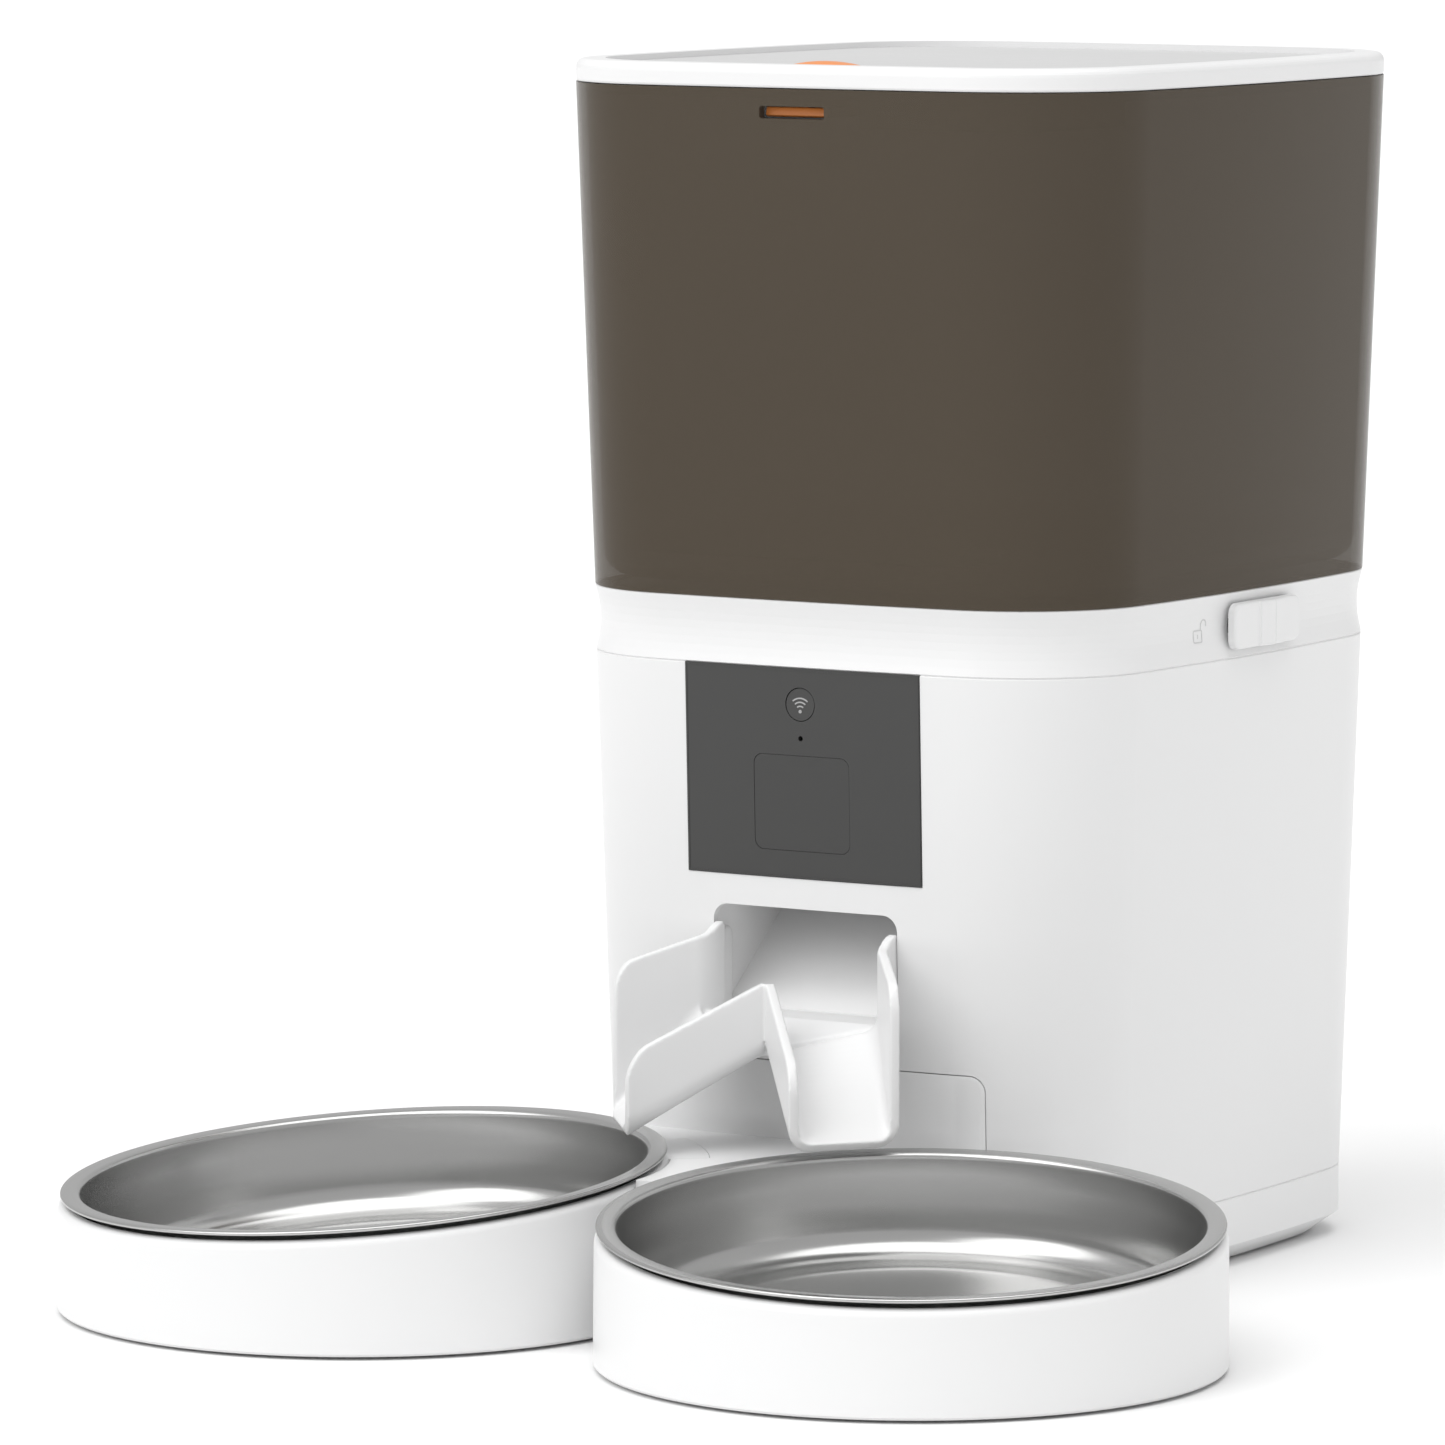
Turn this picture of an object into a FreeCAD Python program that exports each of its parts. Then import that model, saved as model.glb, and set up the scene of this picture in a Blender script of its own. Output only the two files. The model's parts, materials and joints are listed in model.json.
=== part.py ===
import FreeCAD, Part
import math
import os

# Automatic pet feeder with two bowls. Millimetres, +Z up, the front faces -Y.
# The origin is on the floor under the middle of the whole object's footprint.

V = FreeCAD.Vector
os.makedirs("parts", exist_ok=True)

# ---- body outline: a rounded square with bowed sides, drawn about the body's own axis
body_half_width = 95.0      # at the seam under the collar
depth_ratio = 1.137         # depth over width of every body outline
corner_ratio = 0.4517       # corner radius over half width
bow_ratio = 9.912           # radius of the bowed sides over half width
base_taper = 4.6            # the base is this much narrower on each side
collar_flare = 0.3
tank_flare = 4.5            # the tank grows by this much on each side

# ---- heights, stacked from the floor
foot_proud = 1.0
base_height = 21.6
shell_height = 167.1
collar_height = 20.2
tank_height = 153.2
lid_height = 7.1

base_chamfer = 7.5
chamfer_height = 6.0
seam_groove = 0.4
wall = 2.5
tank_wall = 3.0
running_gap = 0.05          # radial gap of shafts in bushes
slip_gap = 0.3              # gap between pieces that slide or lift apart

# ---- front features
panel_half_width = 41.05
panel_height = 63.7
panel_thick = 1.6
panel_gap = 0.15
window_half_width = 16.6
window_height = 28.8
window_above_panel_foot = 8.4
window_thick = 0.8
button_radius = 4.9
button_below_seam = 10.9
button_travel = 0.8
mic_radius = 0.8
mic_below_seam = 21.2
outlet_half_width = 32.3
outlet_height = 35.1
outlet_floor = 80.6
outlet_radius = 5.0
duct_wall = 2.0

# ---- stand and bowls
stand_half_width = 60.4
stand_block_height = 68.8
stand_depth = 20.0          # how far the stand's block reaches into the body
stand_radius = 5.0
deck_height = 45.0
bowl_spacing = 95.0         # from the middle plane to a bowl's axis
bowl_reach = 98.8           # from the base's front to the bowls' axis
bowl_rim_radius = 90.7
bowl_rim_height = 42.3
bowl_rim_width = 6.0
bowl_rim_thick = 1.2
bowl_depth = 30.0
bowl_sheet = 0.8
bowl_tilt = 4.7
bowl_tilt_heading = 27.0    # degrees from +Y towards the middle plane
holder_radius = 91.5
holder_top_radius = 91.2
holder_ledge = 4.0
holder_floor = 2.5
tongue_reach = 11.5
tongue_half_width = 19.0

# ---- chute that splits the food between the bowls
chute_wall = 3.0
chute_apex_ahead = 24.8
chute_bend_ahead = 9.5
chute_lip_height = 50.6
outer_lip_x = 50.5
outer_lip_ahead = 30.8
inner_lip_x = 28.2
inner_lip_ahead = 57.1
inner_wall_height = 24.0
outer_wall_height = 40.0
chute_plug_depth = 7.0
tab_thick = 1.0             # side tabs that grip inside the outlet

# ---- dispensing rotor and drive
chamber_radius = 50.0
chamber_height = 38.7
chamber_wall = 2.5
flange_width = 8.0
flange_thick = 2.5
spout_radius = 44.0
paddle_count = 6
paddle_gap = 1.0
shaft_radius = 3.0
gear_module = 1.0
gear_teeth = 40
pinion_teeth = 12
gear_thick = 6.0
gear_backlash = 0.3
motor_radius = 12.0
gearbox_radius = 16.0
gearbox_length = 22.0
stub_radius = 2.5           # the gearbox's output shaft

# ---- power
cell_length = 61.5
cell_diameter = 34.5
cell_count = 3
bay_wall = 1.6
bay_height = 38.0
door_thick = 2.2
board_thick = 1.6

# ---- feet, pads and screws
foot_radius = 8.0
foot_inlay = 2.0            # how far a foot goes up into the tray
pad_radius = 6.0
pad_inlay = 1.0
screw_radius = 1.6
head_radius = 3.0
head_depth = 1.8
screw_from_side = 14.4
screw_from_middle = 40.0
screw_length = 10.0
boss_radius = 4.0
boss_height = 36.0
rib_half = 1.0
post_radius = 2.5

# ---- lid
lid_rim_width = 9.0
hinge_radius = 3.2
hinge_pin_radius = 1.5
hinge_behind_lid = 4.5
hinge_rise = 3.5
latch_half_width = 11.0
latch_travel = 4.0
cap_half_width = 15.5
cap_half_depth = 7.5

# ---- levels and reaches worked out from the sizes above
seam_z = base_height + shell_height
collar_z = seam_z + collar_height
tank_z = collar_z + tank_height
lid_z = tank_z + lid_height
base_half = body_half_width - base_taper
collar_half = body_half_width + collar_flare
tank_half = collar_half + tank_flare


def half_width_at(z):
    """Half width of the outside at height z."""
    levels = [(0.0, base_half), (base_height, base_half), (seam_z, body_half_width),
              (collar_z, collar_half), (tank_z, tank_half), (lid_z + 50.0, tank_half)]
    for (z0, a0), (z1, a1) in zip(levels, levels[1:]):
        if z <= z1:
            return a0 + (a1 - a0) * (z - z0) / (z1 - z0)
    return tank_half


def front_at(z, x=0.0):
    """Distance from the body axis to its front face at height z and offset x."""
    half = half_width_at(z)
    bow = bow_ratio * half
    return math.sqrt(bow * bow - x * x) - (bow - half * depth_ratio)


panel_z = seam_z - panel_height
face = front_at(outlet_floor + outlet_height / 2)
bowl_y = -(base_half * depth_ratio + bowl_reach)
hinge_y = tank_half * depth_ratio + hinge_behind_lid
hinge_z = tank_z + hinge_rise
body_y = ((holder_radius - bowl_y) - (hinge_y + hinge_radius)) / 2.0


def arc(cx, cy, radius, start, end, z):
    """Circular edge between two angles, at height z."""
    pts = [V(cx + radius * math.cos(t), cy + radius * math.sin(t), z)
           for t in (start, (start + end) / 2.0, end)]
    return Part.Arc(*pts).toShape()


def outline(half, z, inset=0.0):
    """Closed wire of the body outline: four bowed sides and four corner arcs."""
    ax = half - inset
    ay = half * depth_ratio - inset
    corner = corner_ratio * half - inset
    bow = bow_ratio * half - inset
    span = math.hypot(bow - ax, bow - ay)
    reach = math.sqrt((bow - corner) ** 2 - span * span / 4.0)
    cx = -(bow - ax) / 2.0 + reach * (bow - ay) / span
    cy = -(bow - ay) / 2.0 + reach * (bow - ax) / span
    low = math.atan2(cy, cx + bow - ax)
    high = math.atan2(cy + bow - ay, cx)
    pi = math.pi
    edges = [arc(ax - bow, 0, bow, -low, low, z),
             arc(cx, cy, corner, low, high, z),
             arc(0, ay - bow, bow, high, pi - high, z),
             arc(-cx, cy, corner, pi - high, pi - low, z),
             arc(bow - ax, 0, bow, pi - low, pi + low, z),
             arc(-cx, -cy, corner, pi + low, pi + high, z),
             arc(0, bow - ay, bow, pi + high, 2 * pi - high, z),
             arc(cx, -cy, corner, 2 * pi - high, 2 * pi - low, z)]
    return Part.Wire(edges)


def loft(wires, ruled=True):
    return Part.makeLoft(wires, True, ruled)


def body_solid(z0, z1, inset=0.0):
    """The outside of the body between two heights, moved in by inset."""
    cuts = [z for z in (base_height, seam_z, collar_z, tank_z) if z0 + 0.01 < z < z1 - 0.01]
    return loft([outline(half_width_at(z), z, inset) for z in [z0] + cuts + [z1]])


def straight_solid(half, z0, z1, inset=0.0):
    face_of = Part.Face(outline(half, z0, inset))
    return face_of.extrude(V(0, 0, z1 - z0))


def box(x0, x1, y0, y1, z0, z1):
    return Part.makeBox(x1 - x0, y1 - y0, z1 - z0, V(x0, y0, z0))


def cylinder(x, y, z0, z1, radius):
    return Part.makeCylinder(radius, z1 - z0, V(x, y, z0))


def ring(x, y, z0, z1, outer, inner):
    return cylinder(x, y, z0, z1, outer).cut(cylinder(x, y, z0 - 1, z1 + 1, inner))


def rod_y(x, z, y0, y1, radius):
    return Part.makeCylinder(radius, y1 - y0, V(x, y0, z), V(0, 1, 0))


def rod_x(y, z, x0, x1, radius):
    return Part.makeCylinder(radius, x1 - x0, V(x0, y, z), V(1, 0, 0))


def rounded(shape, radius, axis):
    """Round the straight edges that run along one axis."""
    picked = []
    for edge in shape.Edges:
        a, b = edge.Vertexes[0].Point, edge.Vertexes[-1].Point
        run = b - a
        if run.Length > 0 and abs(abs(run.dot(axis)) - run.Length) < 1e-6:
            picked.append(edge)
    return shape.makeFillet(radius, picked)


def prism_x(points, x0, x1):
    """Solid from (y, z) corner points, drawn along X."""
    wire = Part.makePolygon([V(x0, y, z) for y, z in points + points[:1]])
    return Part.Face(wire).extrude(V(x1 - x0, 0, 0))


def fuse(pieces):
    whole = pieces[0]
    for piece in pieces[1:]:
        whole = whole.fuse(piece)
    return whole.removeSplitter()


def mirror_x(shape):
    return shape.mirror(V(0, 0, 0), V(1, 0, 0))


def put(name, shape):
    """Write one node, moved from the body axis to the object's own origin."""
    placed = shape.copy()
    placed.translate(V(0, body_y, 0))
    solids = placed.Solids
    out = solids[0] if len(solids) == 1 else Part.makeCompound(solids)
    out.exportStep("parts/" + name + ".step")


# ---------------------------------------------------------------- lower housing
inner_space = body_solid(base_height - 30.0, seam_z + 40.0, wall)


def socket_cut(gap):
    """Opening in the front for the stand's block, round at its top corners."""
    block = box(-stand_half_width - gap, stand_half_width + gap, -200, -(face - stand_depth) + gap,
                -40, stand_block_height + gap)
    return rounded(block, stand_radius, V(0, 1, 0))


def outlet_cut():
    half = outlet_half_width
    block = rounded(box(-half, half, -200, -60, 0, outlet_floor + outlet_height), outlet_radius, V(0, 1, 0))
    return block.common(box(-half, half, -200, -60, outlet_floor, outlet_floor + outlet_height))


board_y = -(front_at(panel_z) - 10.0)
board_half = 37.0
board_foot = panel_z + 4.0
board_head = seam_z - 5.0
inlet_z = base_height + 12.0


def make_body_shell():
    outer = loft([outline(half_width_at(base_height), base_height, seam_groove),
                  outline(half_width_at(base_height + seam_groove), base_height + seam_groove),
                  outline(half_width_at(seam_z - seam_groove), seam_z - seam_groove),
                  outline(half_width_at(seam_z), seam_z, seam_groove)])
    shell = outer.cut(inner_space)
    band = body_solid(base_height, seam_z + 2, 0).cut(body_solid(base_height, seam_z + 2, panel_thick))
    half = panel_half_width + panel_gap
    shell = shell.cut(band.common(box(-half, half, -200, 0, panel_z - panel_gap, seam_z + 2)))
    shell = shell.cut(box(-30, 30, -200, -80, panel_z + 6, seam_z - 6))
    shell = shell.cut(outlet_cut()).cut(socket_cut(slip_gap))
    shell = shell.cut(rounded(box(-4.6, 4.6, 80, 200, inlet_z - 1.75, inlet_z + 1.75), 1.7, V(0, 1, 0)))
    posts = []
    in_wall = body_solid(0, seam_z, wall - 0.2)
    for x in (-34, 34):
        for z in (board_foot + 4, board_head - 4):
            posts.append(rod_y(x, z, -150, board_y, post_radius).common(in_wall))
    for x, y in screw_places():
        boss = cylinder(x, y, tray_floor, tray_floor + boss_height, boss_radius)
        rib = box(min(x, 3 * x), max(x, 3 * x), y - rib_half, y + rib_half,
                  base_height + 6, tray_floor + boss_height)
        boss = boss.fuse(rib).common(in_wall)
        posts.append(boss.cut(cylinder(x, y, 0, tray_floor + screw_length + 2, screw_radius)))
    return fuse([shell] + posts)


def foot_places():
    x, y = base_half - 34.0, base_half * depth_ratio - 28.0
    return [(sx * x, sy * y) for sx in (-1, 1) for sy in (-1, 1)]


bay_y0 = -(cell_count * cell_diameter) / 2.0 + 20.0
bay_y1 = bay_y0 + cell_count * cell_diameter + 1.0
bay_half = cell_length / 2.0 + 1.5
tray_floor = foot_proud + 3.0
speaker_y = -66.0
speaker_radius = 14.0


def tray_space():
    """Room inside the base tray."""
    return loft([outline(base_half - base_chamfer + 3.0, tray_floor, wall),
                 outline(base_half, foot_proud + chamfer_height + 3.0, wall),
                 outline(base_half, base_height + 6, wall)])


def screw_places():
    x, y = base_half - screw_from_side, screw_from_middle
    return [(sx * x, sy * y) for sx in (-1, 1) for sy in (-1, 1)]


def make_housing_screws():
    screws = []
    for x, y in screw_places():
        head = cylinder(x, y, foot_proud + 0.2, foot_proud + head_depth, head_radius)
        for long, short in ((2.0, 0.4), (0.4, 2.0)):
            head = head.cut(box(x - long, x + long, y - short, y + short, 0, foot_proud + 0.8))
        thread = cylinder(x, y, foot_proud + head_depth, tray_floor + screw_length, screw_radius)
        screws.append(fuse([head, thread]))
    return Part.makeCompound(screws)


def make_base_tray():
    outer = loft([outline(base_half - base_chamfer, foot_proud),
                  outline(base_half, foot_proud + chamfer_height),
                  outline(base_half, base_height - seam_groove),
                  outline(base_half, base_height, seam_groove)])
    lip = straight_solid(base_half, base_height - 4, base_height + 4, wall)
    lip = lip.cut(straight_solid(base_half, base_height - 5, base_height + 5, wall + 1.8))
    tray = fuse([outer.cut(tray_space()), lip]).cut(socket_cut(slip_gap))
    bay_hole = box(-bay_half - bay_wall, bay_half + bay_wall, bay_y0 - bay_wall, bay_y1 + bay_wall, 0, 12)
    tray = tray.cut(bay_hole)
    for x, y in foot_places():
        tray = tray.cut(cylinder(x, y, 0, foot_proud + foot_inlay, foot_radius))
    for x, y in screw_places():
        tray = tray.cut(cylinder(x, y, 0, foot_proud + head_depth, head_radius + 0.2))
        tray = tray.cut(cylinder(x, y, 0, tray_floor + 1, screw_radius + 0.1))
    for n in (-1, 0, 1):
        y = speaker_y + n * 6.0
        tray = tray.cut(box(-speaker_radius, speaker_radius, y - 1.0, y + 1.0, 0, 10))
    return tray


def make_battery_bay():
    outer = box(-bay_half - bay_wall, bay_half + bay_wall, bay_y0 - bay_wall, bay_y1 + bay_wall,
                foot_proud + door_thick + slip_gap, bay_height + bay_wall)
    return outer.cut(box(-bay_half, bay_half, bay_y0, bay_y1, 0, bay_height))


def make_battery_contacts():
    plates = []
    for n in range(cell_count):
        y = bay_y0 + 0.5 + cell_diameter * (n + 0.5)
        for side in (-1, 1):
            plate = box(-0.4, 0.4, y - 7, y + 7, 12, 30)
            plate.translate(V(side * (bay_half - 0.4), 0, 0))
            bump = Part.makeCone(5.0, 2.5, 1.6, V(side * (bay_half - 0.8), y, 21), V(-side, 0, 0))
            plates.append(fuse([plate, bump]))
    return Part.makeCompound(plates)


def make_battery_door():
    edge = bay_wall - slip_gap
    door = box(-bay_half - edge, bay_half + edge, bay_y0 - edge, bay_y1 + edge,
               foot_proud, foot_proud + door_thick)
    grip = Part.makeCylinder(9, 3, V(0, bay_y0 + 3, foot_proud - 2.0))
    return door.cut(grip)


def make_rubber_feet():
    top = foot_proud + foot_inlay
    return Part.makeCompound([cylinder(x, y, 0, top, foot_radius) for x, y in foot_places()])


socket_wall = 1.6


def make_stand_socket():
    back = -(face - stand_depth) + slip_gap
    half = stand_half_width + slip_gap
    top = stand_block_height + slip_gap
    outer = box(-half - socket_wall, half + socket_wall, -200, back + socket_wall,
                tray_floor, top + socket_wall)
    walls = outer.cut(box(-half, half, -201, back, -1, top))
    lip_space = straight_solid(base_half, 0, base_height + 4, wall + 1.8).common(tray_space())
    upper_space = body_solid(base_height + 4, seam_z, wall)
    return walls.common(fuse([lip_space, upper_space]))


# ---------------------------------------------------------------- collar and lock
collar_inner = 4.5
collar_floor = 2.5
lock_travel = 12.0
lock_y = 4.5
lock_z = seam_z + 9.8
lock_plate_half = 20.5


def make_collar():
    waist = 1.5
    wires = []
    for n in range(9):
        t = n / 8.0
        z = seam_z + seam_groove + t * (collar_height - 2 * seam_groove)
        wires.append(outline(half_width_at(z), z, waist * math.sin(math.pi * t)))
    foot = outline(body_half_width, seam_z, seam_groove)
    head = outline(collar_half, collar_z, seam_groove)
    outer = loft([foot] + wires + [head])
    hollow = straight_solid(body_half_width, seam_z + collar_floor, collar_z + 5, collar_inner)
    ring_solid = outer.cut(hollow).cut(cylinder(0, 0, 0, collar_z, chamber_radius + 2.0))
    x_in = body_half_width - collar_inner
    ring_solid = ring_solid.cut(box(x_in - 2, body_half_width + 10, lock_y - 5.5 - lock_travel, lock_y + 5.5,
                                    lock_z - 2.3, lock_z + 2.3))
    return ring_solid.cut(box(x_in - 3, x_in + 1.9, lock_y - 10.5 - lock_travel, lock_y + 10.5,
                              lock_z - 5.4, lock_z + 5.4))


def make_lock_slider():
    x0 = body_half_width + collar_flare + 0.1
    plate = box(x0, x0 + 2.2, lock_y - lock_plate_half, lock_y + lock_plate_half, lock_z - 7, lock_z + 7)
    plate = rounded(plate, 2.0, V(1, 0, 0))
    ridge = rounded(box(x0 + 1, x0 + 5.0, lock_y - 4, lock_y + 9, lock_z - 7, lock_z + 7), 1.2, V(0, 0, 1))
    for n in range(4):
        groove_y = lock_y - 1.6 + n * 2.8
        ridge = ridge.cut(box(x0 + 4.4, x0 + 6, groove_y, groove_y + 0.8, 0, lid_z))
    stem = box(body_half_width - collar_inner + 1.6, x0 + 0.5, lock_y - 5, lock_y + 5, lock_z - 2, lock_z + 2)
    return fuse([plate, ridge, stem])


def make_lock_bolt():
    x0 = body_half_width - collar_inner + 0.1
    return box(x0, x0 + 1.5, lock_y - 10, lock_y + 10, lock_z - 5, lock_z + 5)


# ---------------------------------------------------------------- tank
skirt_gap = 0.5
tank_corner = 7.0


def tank_hollow():
    """Room inside the tank, rounded where its walls meet its floor."""
    floor_z = collar_z + tank_wall
    wires = []
    for n in range(5):
        t = n * math.pi / 8.0
        z = floor_z + tank_corner * (1 - math.cos(t))
        wires.append(outline(half_width_at(z), z, tank_wall + tank_corner * (1 - math.sin(t))))
    wires.append(outline(tank_half, tank_z, tank_wall))
    wires.append(outline(tank_half, tank_z + 2, tank_wall))
    return loft(wires)


def make_hopper_tank():
    shell = body_solid(collar_z, tank_z).cut(tank_hollow())
    skirt = straight_solid(body_half_width, seam_z + 5, collar_z + 0.5, collar_inner + skirt_gap)
    skirt_inside = collar_inner + skirt_gap + wall
    skirt = skirt.cut(straight_solid(body_half_width, seam_z + 4, collar_z + 1, skirt_inside))
    spout = cylinder(0, 0, seam_z + 5, collar_z + 0.5, spout_radius + wall)
    tank = fuse([shell, skirt, spout]).cut(cylinder(0, 0, seam_z, collar_z + 10, spout_radius))
    slot = rounded(box(-latch_half_width - slip_gap, latch_half_width + slip_gap, -200, -80,
                       tank_z - 8.9, tank_z - 5.2), 0.8, V(0, 1, 0))
    tank = tank.cut(slot)
    rear = front_at(tank_z)
    arm_profile = [(rear - 1, tank_z - 18), (rear - 1, tank_z - 0.5), (hinge_y - hinge_radius, tank_z - 0.5),
                   (hinge_y - hinge_radius + 0.4, hinge_z - 1), (hinge_y + hinge_radius - 0.4, hinge_z - 1),
                   (hinge_y + hinge_radius - 0.6, tank_z - 5)]
    arms = []
    for x in (-30, 22):
        arm = fuse([prism_x(arm_profile, x, x + 8), rod_x(hinge_y, hinge_z, x, x + 8, hinge_radius)])
        arms.append(arm.cut(rod_x(hinge_y, hinge_z, -40, 40, hinge_pin_radius)))
    return fuse([tank] + arms)


funnel_rise = 12.0


def make_tank_funnel():
    foot = collar_z + tank_wall

    def bowl_shape(drop):
        top = outline(half_width_at(foot), foot + funnel_rise - drop)
        eighth = math.pi / 4
        turns = [(n - 0.5) * eighth for n in range(8)]
        low = [arc(0, 0, spout_radius, t, t + eighth, foot - drop) for t in turns]
        return loft([Part.Wire(low), top])
    skin = bowl_shape(2.4).cut(bowl_shape(0.0))
    return skin.common(tank_hollow())


def make_hinge_pin():
    return rod_x(hinge_y, hinge_z, -31, 31, hinge_pin_radius)


# ---------------------------------------------------------------- lid and latch
lid_gap = 0.3
lid_deck = 2.9
skirt_depth = 3.0
panel_drop = 1.8
stem_y = -(front_at(tank_z) - tank_wall - 14.0)
latch_top = lid_z + 0.9
button_centre = stem_y + 3.0


def make_lid_frame():
    edge = 2.6
    wires = [outline(tank_half, tank_z + lid_gap, 0.3), outline(tank_half, tank_z + lid_gap + 0.6)]
    for n in range(6):
        t = n * math.pi / 10.0
        z = lid_z - edge + edge * math.sin(t)
        wires.append(outline(tank_half, z, edge * (1 - math.cos(t))))
    frame = loft(wires)
    frame = frame.cut(straight_solid(tank_half, tank_z + lid_gap + lid_deck, lid_z + 5, lid_rim_width))
    skirt = straight_solid(tank_half, tank_z - skirt_depth, tank_z + lid_gap + 0.5, tank_wall + 1.4)
    skirt = skirt.cut(straight_solid(tank_half, tank_z - skirt_depth - 1, tank_z + lid_gap, tank_wall + 3.2))
    frame = fuse([frame, skirt]).cut(latch_slot())
    web = box(-21.7, 21.7, front_at(tank_z) - 1.5, hinge_y, hinge_z - 1.2, hinge_z + 2.0)
    knuckle = fuse([web, rod_x(hinge_y, hinge_z, -21.7, 21.7, hinge_radius)])
    return fuse([frame, knuckle]).cut(rod_x(hinge_y, hinge_z, -40, 40, hinge_pin_radius + running_gap))


def latch_slot():
    half = latch_half_width - 2 + slip_gap
    return box(-half, half, stem_y - 1.5 - slip_gap, stem_y + 1.5 + latch_travel + slip_gap,
               tank_z - 6, lid_z + 5)


def make_lid_panel():
    z0 = tank_z + lid_gap + lid_deck
    panel = straight_solid(tank_half, z0, lid_z - panel_drop, lid_rim_width)
    return panel.cut(latch_slot())


def make_lid_seal():
    band = straight_solid(tank_half, tank_z - skirt_depth + 0.4, tank_z - 0.6, tank_wall + 0.6)
    return band.cut(straight_solid(tank_half, tank_z - 5, tank_z, tank_wall + 1.4))


def make_desiccant_box():
    top = tank_z + lid_gap
    cup = box(-30, 30, -25, 35, top - 16, top)
    cup = cup.cut(box(-28.4, 28.4, -23.4, 33.4, top - 14.4, top + 1))
    for n in range(5):
        cup = cup.cut(box(-22, 22, -17 + n * 10.4, -13 + n * 10.4, top - 20, top - 10))
    return cup


def make_lid_latch():
    z_tongue = tank_z - 8.5
    front = -(front_at(z_tongue) - tank_wall - 0.6)
    tongue = box(-latch_half_width, latch_half_width, front - 2, stem_y + 1.5, z_tongue, z_tongue + 3.0)
    room = body_solid(z_tongue - 2, z_tongue + 5, tank_wall + 0.6)
    tongue = tongue.common(room)
    stem = box(-latch_half_width + 2, latch_half_width - 2, stem_y - 1.5, stem_y + 1.5, z_tongue, lid_z)
    cap = box(-cap_half_width, cap_half_width, button_centre - cap_half_depth, button_centre + cap_half_depth,
              lid_z - panel_drop + 0.3, latch_top)
    cap = rounded(cap, 4.0, V(0, 0, 1))
    return fuse([tongue, stem, cap])


# ---------------------------------------------------------------- dispensing rotor
chamber_floor = seam_z - chamber_height
chamber_foot = chamber_floor - chamber_wall
gear_z = chamber_foot - 1.5 - gear_thick
plate_z = gear_z - 5.0
plate_thick = 3.0
shaft_spacing = gear_module * (gear_teeth + pinion_teeth) / 2.0 + 0.1
drop_near = 27.0
drop_far = chamber_radius


def make_rotor_chamber():
    cup = cylinder(0, 0, chamber_foot, seam_z, chamber_radius + chamber_wall)
    flange = cylinder(0, 0, seam_z - flange_thick, seam_z, chamber_radius + flange_width)
    cup = fuse([cup, flange]).cut(cylinder(0, 0, chamber_floor, seam_z + 1, chamber_radius))
    hole = box(-22, 22, -drop_far, -drop_near, chamber_foot - 1, chamber_floor + 1)
    cup = cup.cut(hole.common(cylinder(0, 0, chamber_foot - 2, chamber_floor + 2, chamber_radius)))
    return cup.cut(cylinder(0, 0, 0, seam_z, shaft_radius + 2.0))


def make_rotor_bush():
    body = cylinder(0, 0, chamber_foot, chamber_floor + 1.0, shaft_radius + 2.0)
    return body.cut(cylinder(0, 0, 0, seam_z, shaft_radius + running_gap))


def make_chamber_seal():
    return ring(0, 0, seam_z, seam_z + 4.5, chamber_radius + 1.0, spout_radius + 1.0)


def make_rotor_shaft():
    return cylinder(0, 0, plate_z + 0.5, seam_z + 6.0, shaft_radius)


def make_paddle_wheel():
    z0 = chamber_floor + 1.5
    z1 = seam_z - 6.0
    tip = chamber_radius - paddle_gap
    hub = Part.makeCone(14.0, 11.0, z1 - z0, V(0, 0, z0))
    blades = [hub]
    for n in range(paddle_count):
        blade = box(8, tip - 0.1, -1.4, 1.4, z0, z1)
        blade.rotate(V(0, 0, 0), V(0, 0, 1), n * 360.0 / paddle_count + 15.0)
        blades.append(blade)
    wheel = fuse(blades)
    return wheel.cut(cylinder(0, 0, 0, lid_z, shaft_radius))


def make_stirrer():
    z0 = seam_z - 6.0
    hub = cylinder(0, 0, z0, collar_z + 2.0, 7.0)
    dome = Part.makeSphere(7.0, V(0, 0, collar_z + 2.0))
    pieces = [hub, dome]
    for n in range(3):
        arm = box(4, 30, -2.0, 2.0, z0 + 12, z0 + 18)
        arm.rotate(V(0, 0, 0), V(0, 0, 1), n * 120.0)
        pieces.append(arm)
    return fuse(pieces).cut(cylinder(0, 0, 0, seam_z + 6.0, shaft_radius))


def gear(teeth, z0, z1, bore, turn):
    """Spur gear with involute flanks."""
    pitch = gear_module * teeth / 2.0
    base = pitch * math.cos(math.radians(20))
    tip = pitch + 0.85 * gear_module
    root = pitch - 1.25 * gear_module
    half_tooth = (math.pi / 2 - gear_backlash) / teeth
    involute = math.tan(math.radians(20)) - math.radians(20)

    def flank(radius):
        if radius <= base:
            return half_tooth + involute
        press = math.acos(base / radius)
        return half_tooth + involute - (math.tan(press) - press)
    radii = [root] + [max(base, root + 0.1) + (tip - max(base, root + 0.1)) * k / 4.0 for k in range(5)]
    pts = []
    for n in range(teeth):
        mid = 2 * math.pi * n / teeth
        for r in radii:
            pts.append(V(r * math.cos(mid - flank(r)), r * math.sin(mid - flank(r)), z0))
        for r in reversed(radii):
            pts.append(V(r * math.cos(mid + flank(r)), r * math.sin(mid + flank(r)), z0))
    wheel = Part.Face(Part.makePolygon(pts + pts[:1])).extrude(V(0, 0, z1 - z0))
    if bore > 0:
        wheel = wheel.cut(cylinder(0, 0, z0 - 1, z1 + 1, bore))
    wheel.rotate(V(0, 0, 0), V(0, 0, 1), turn)
    return wheel


def make_drive_gear():
    return gear(gear_teeth, gear_z, gear_z + gear_thick, shaft_radius, 0.0)


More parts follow.
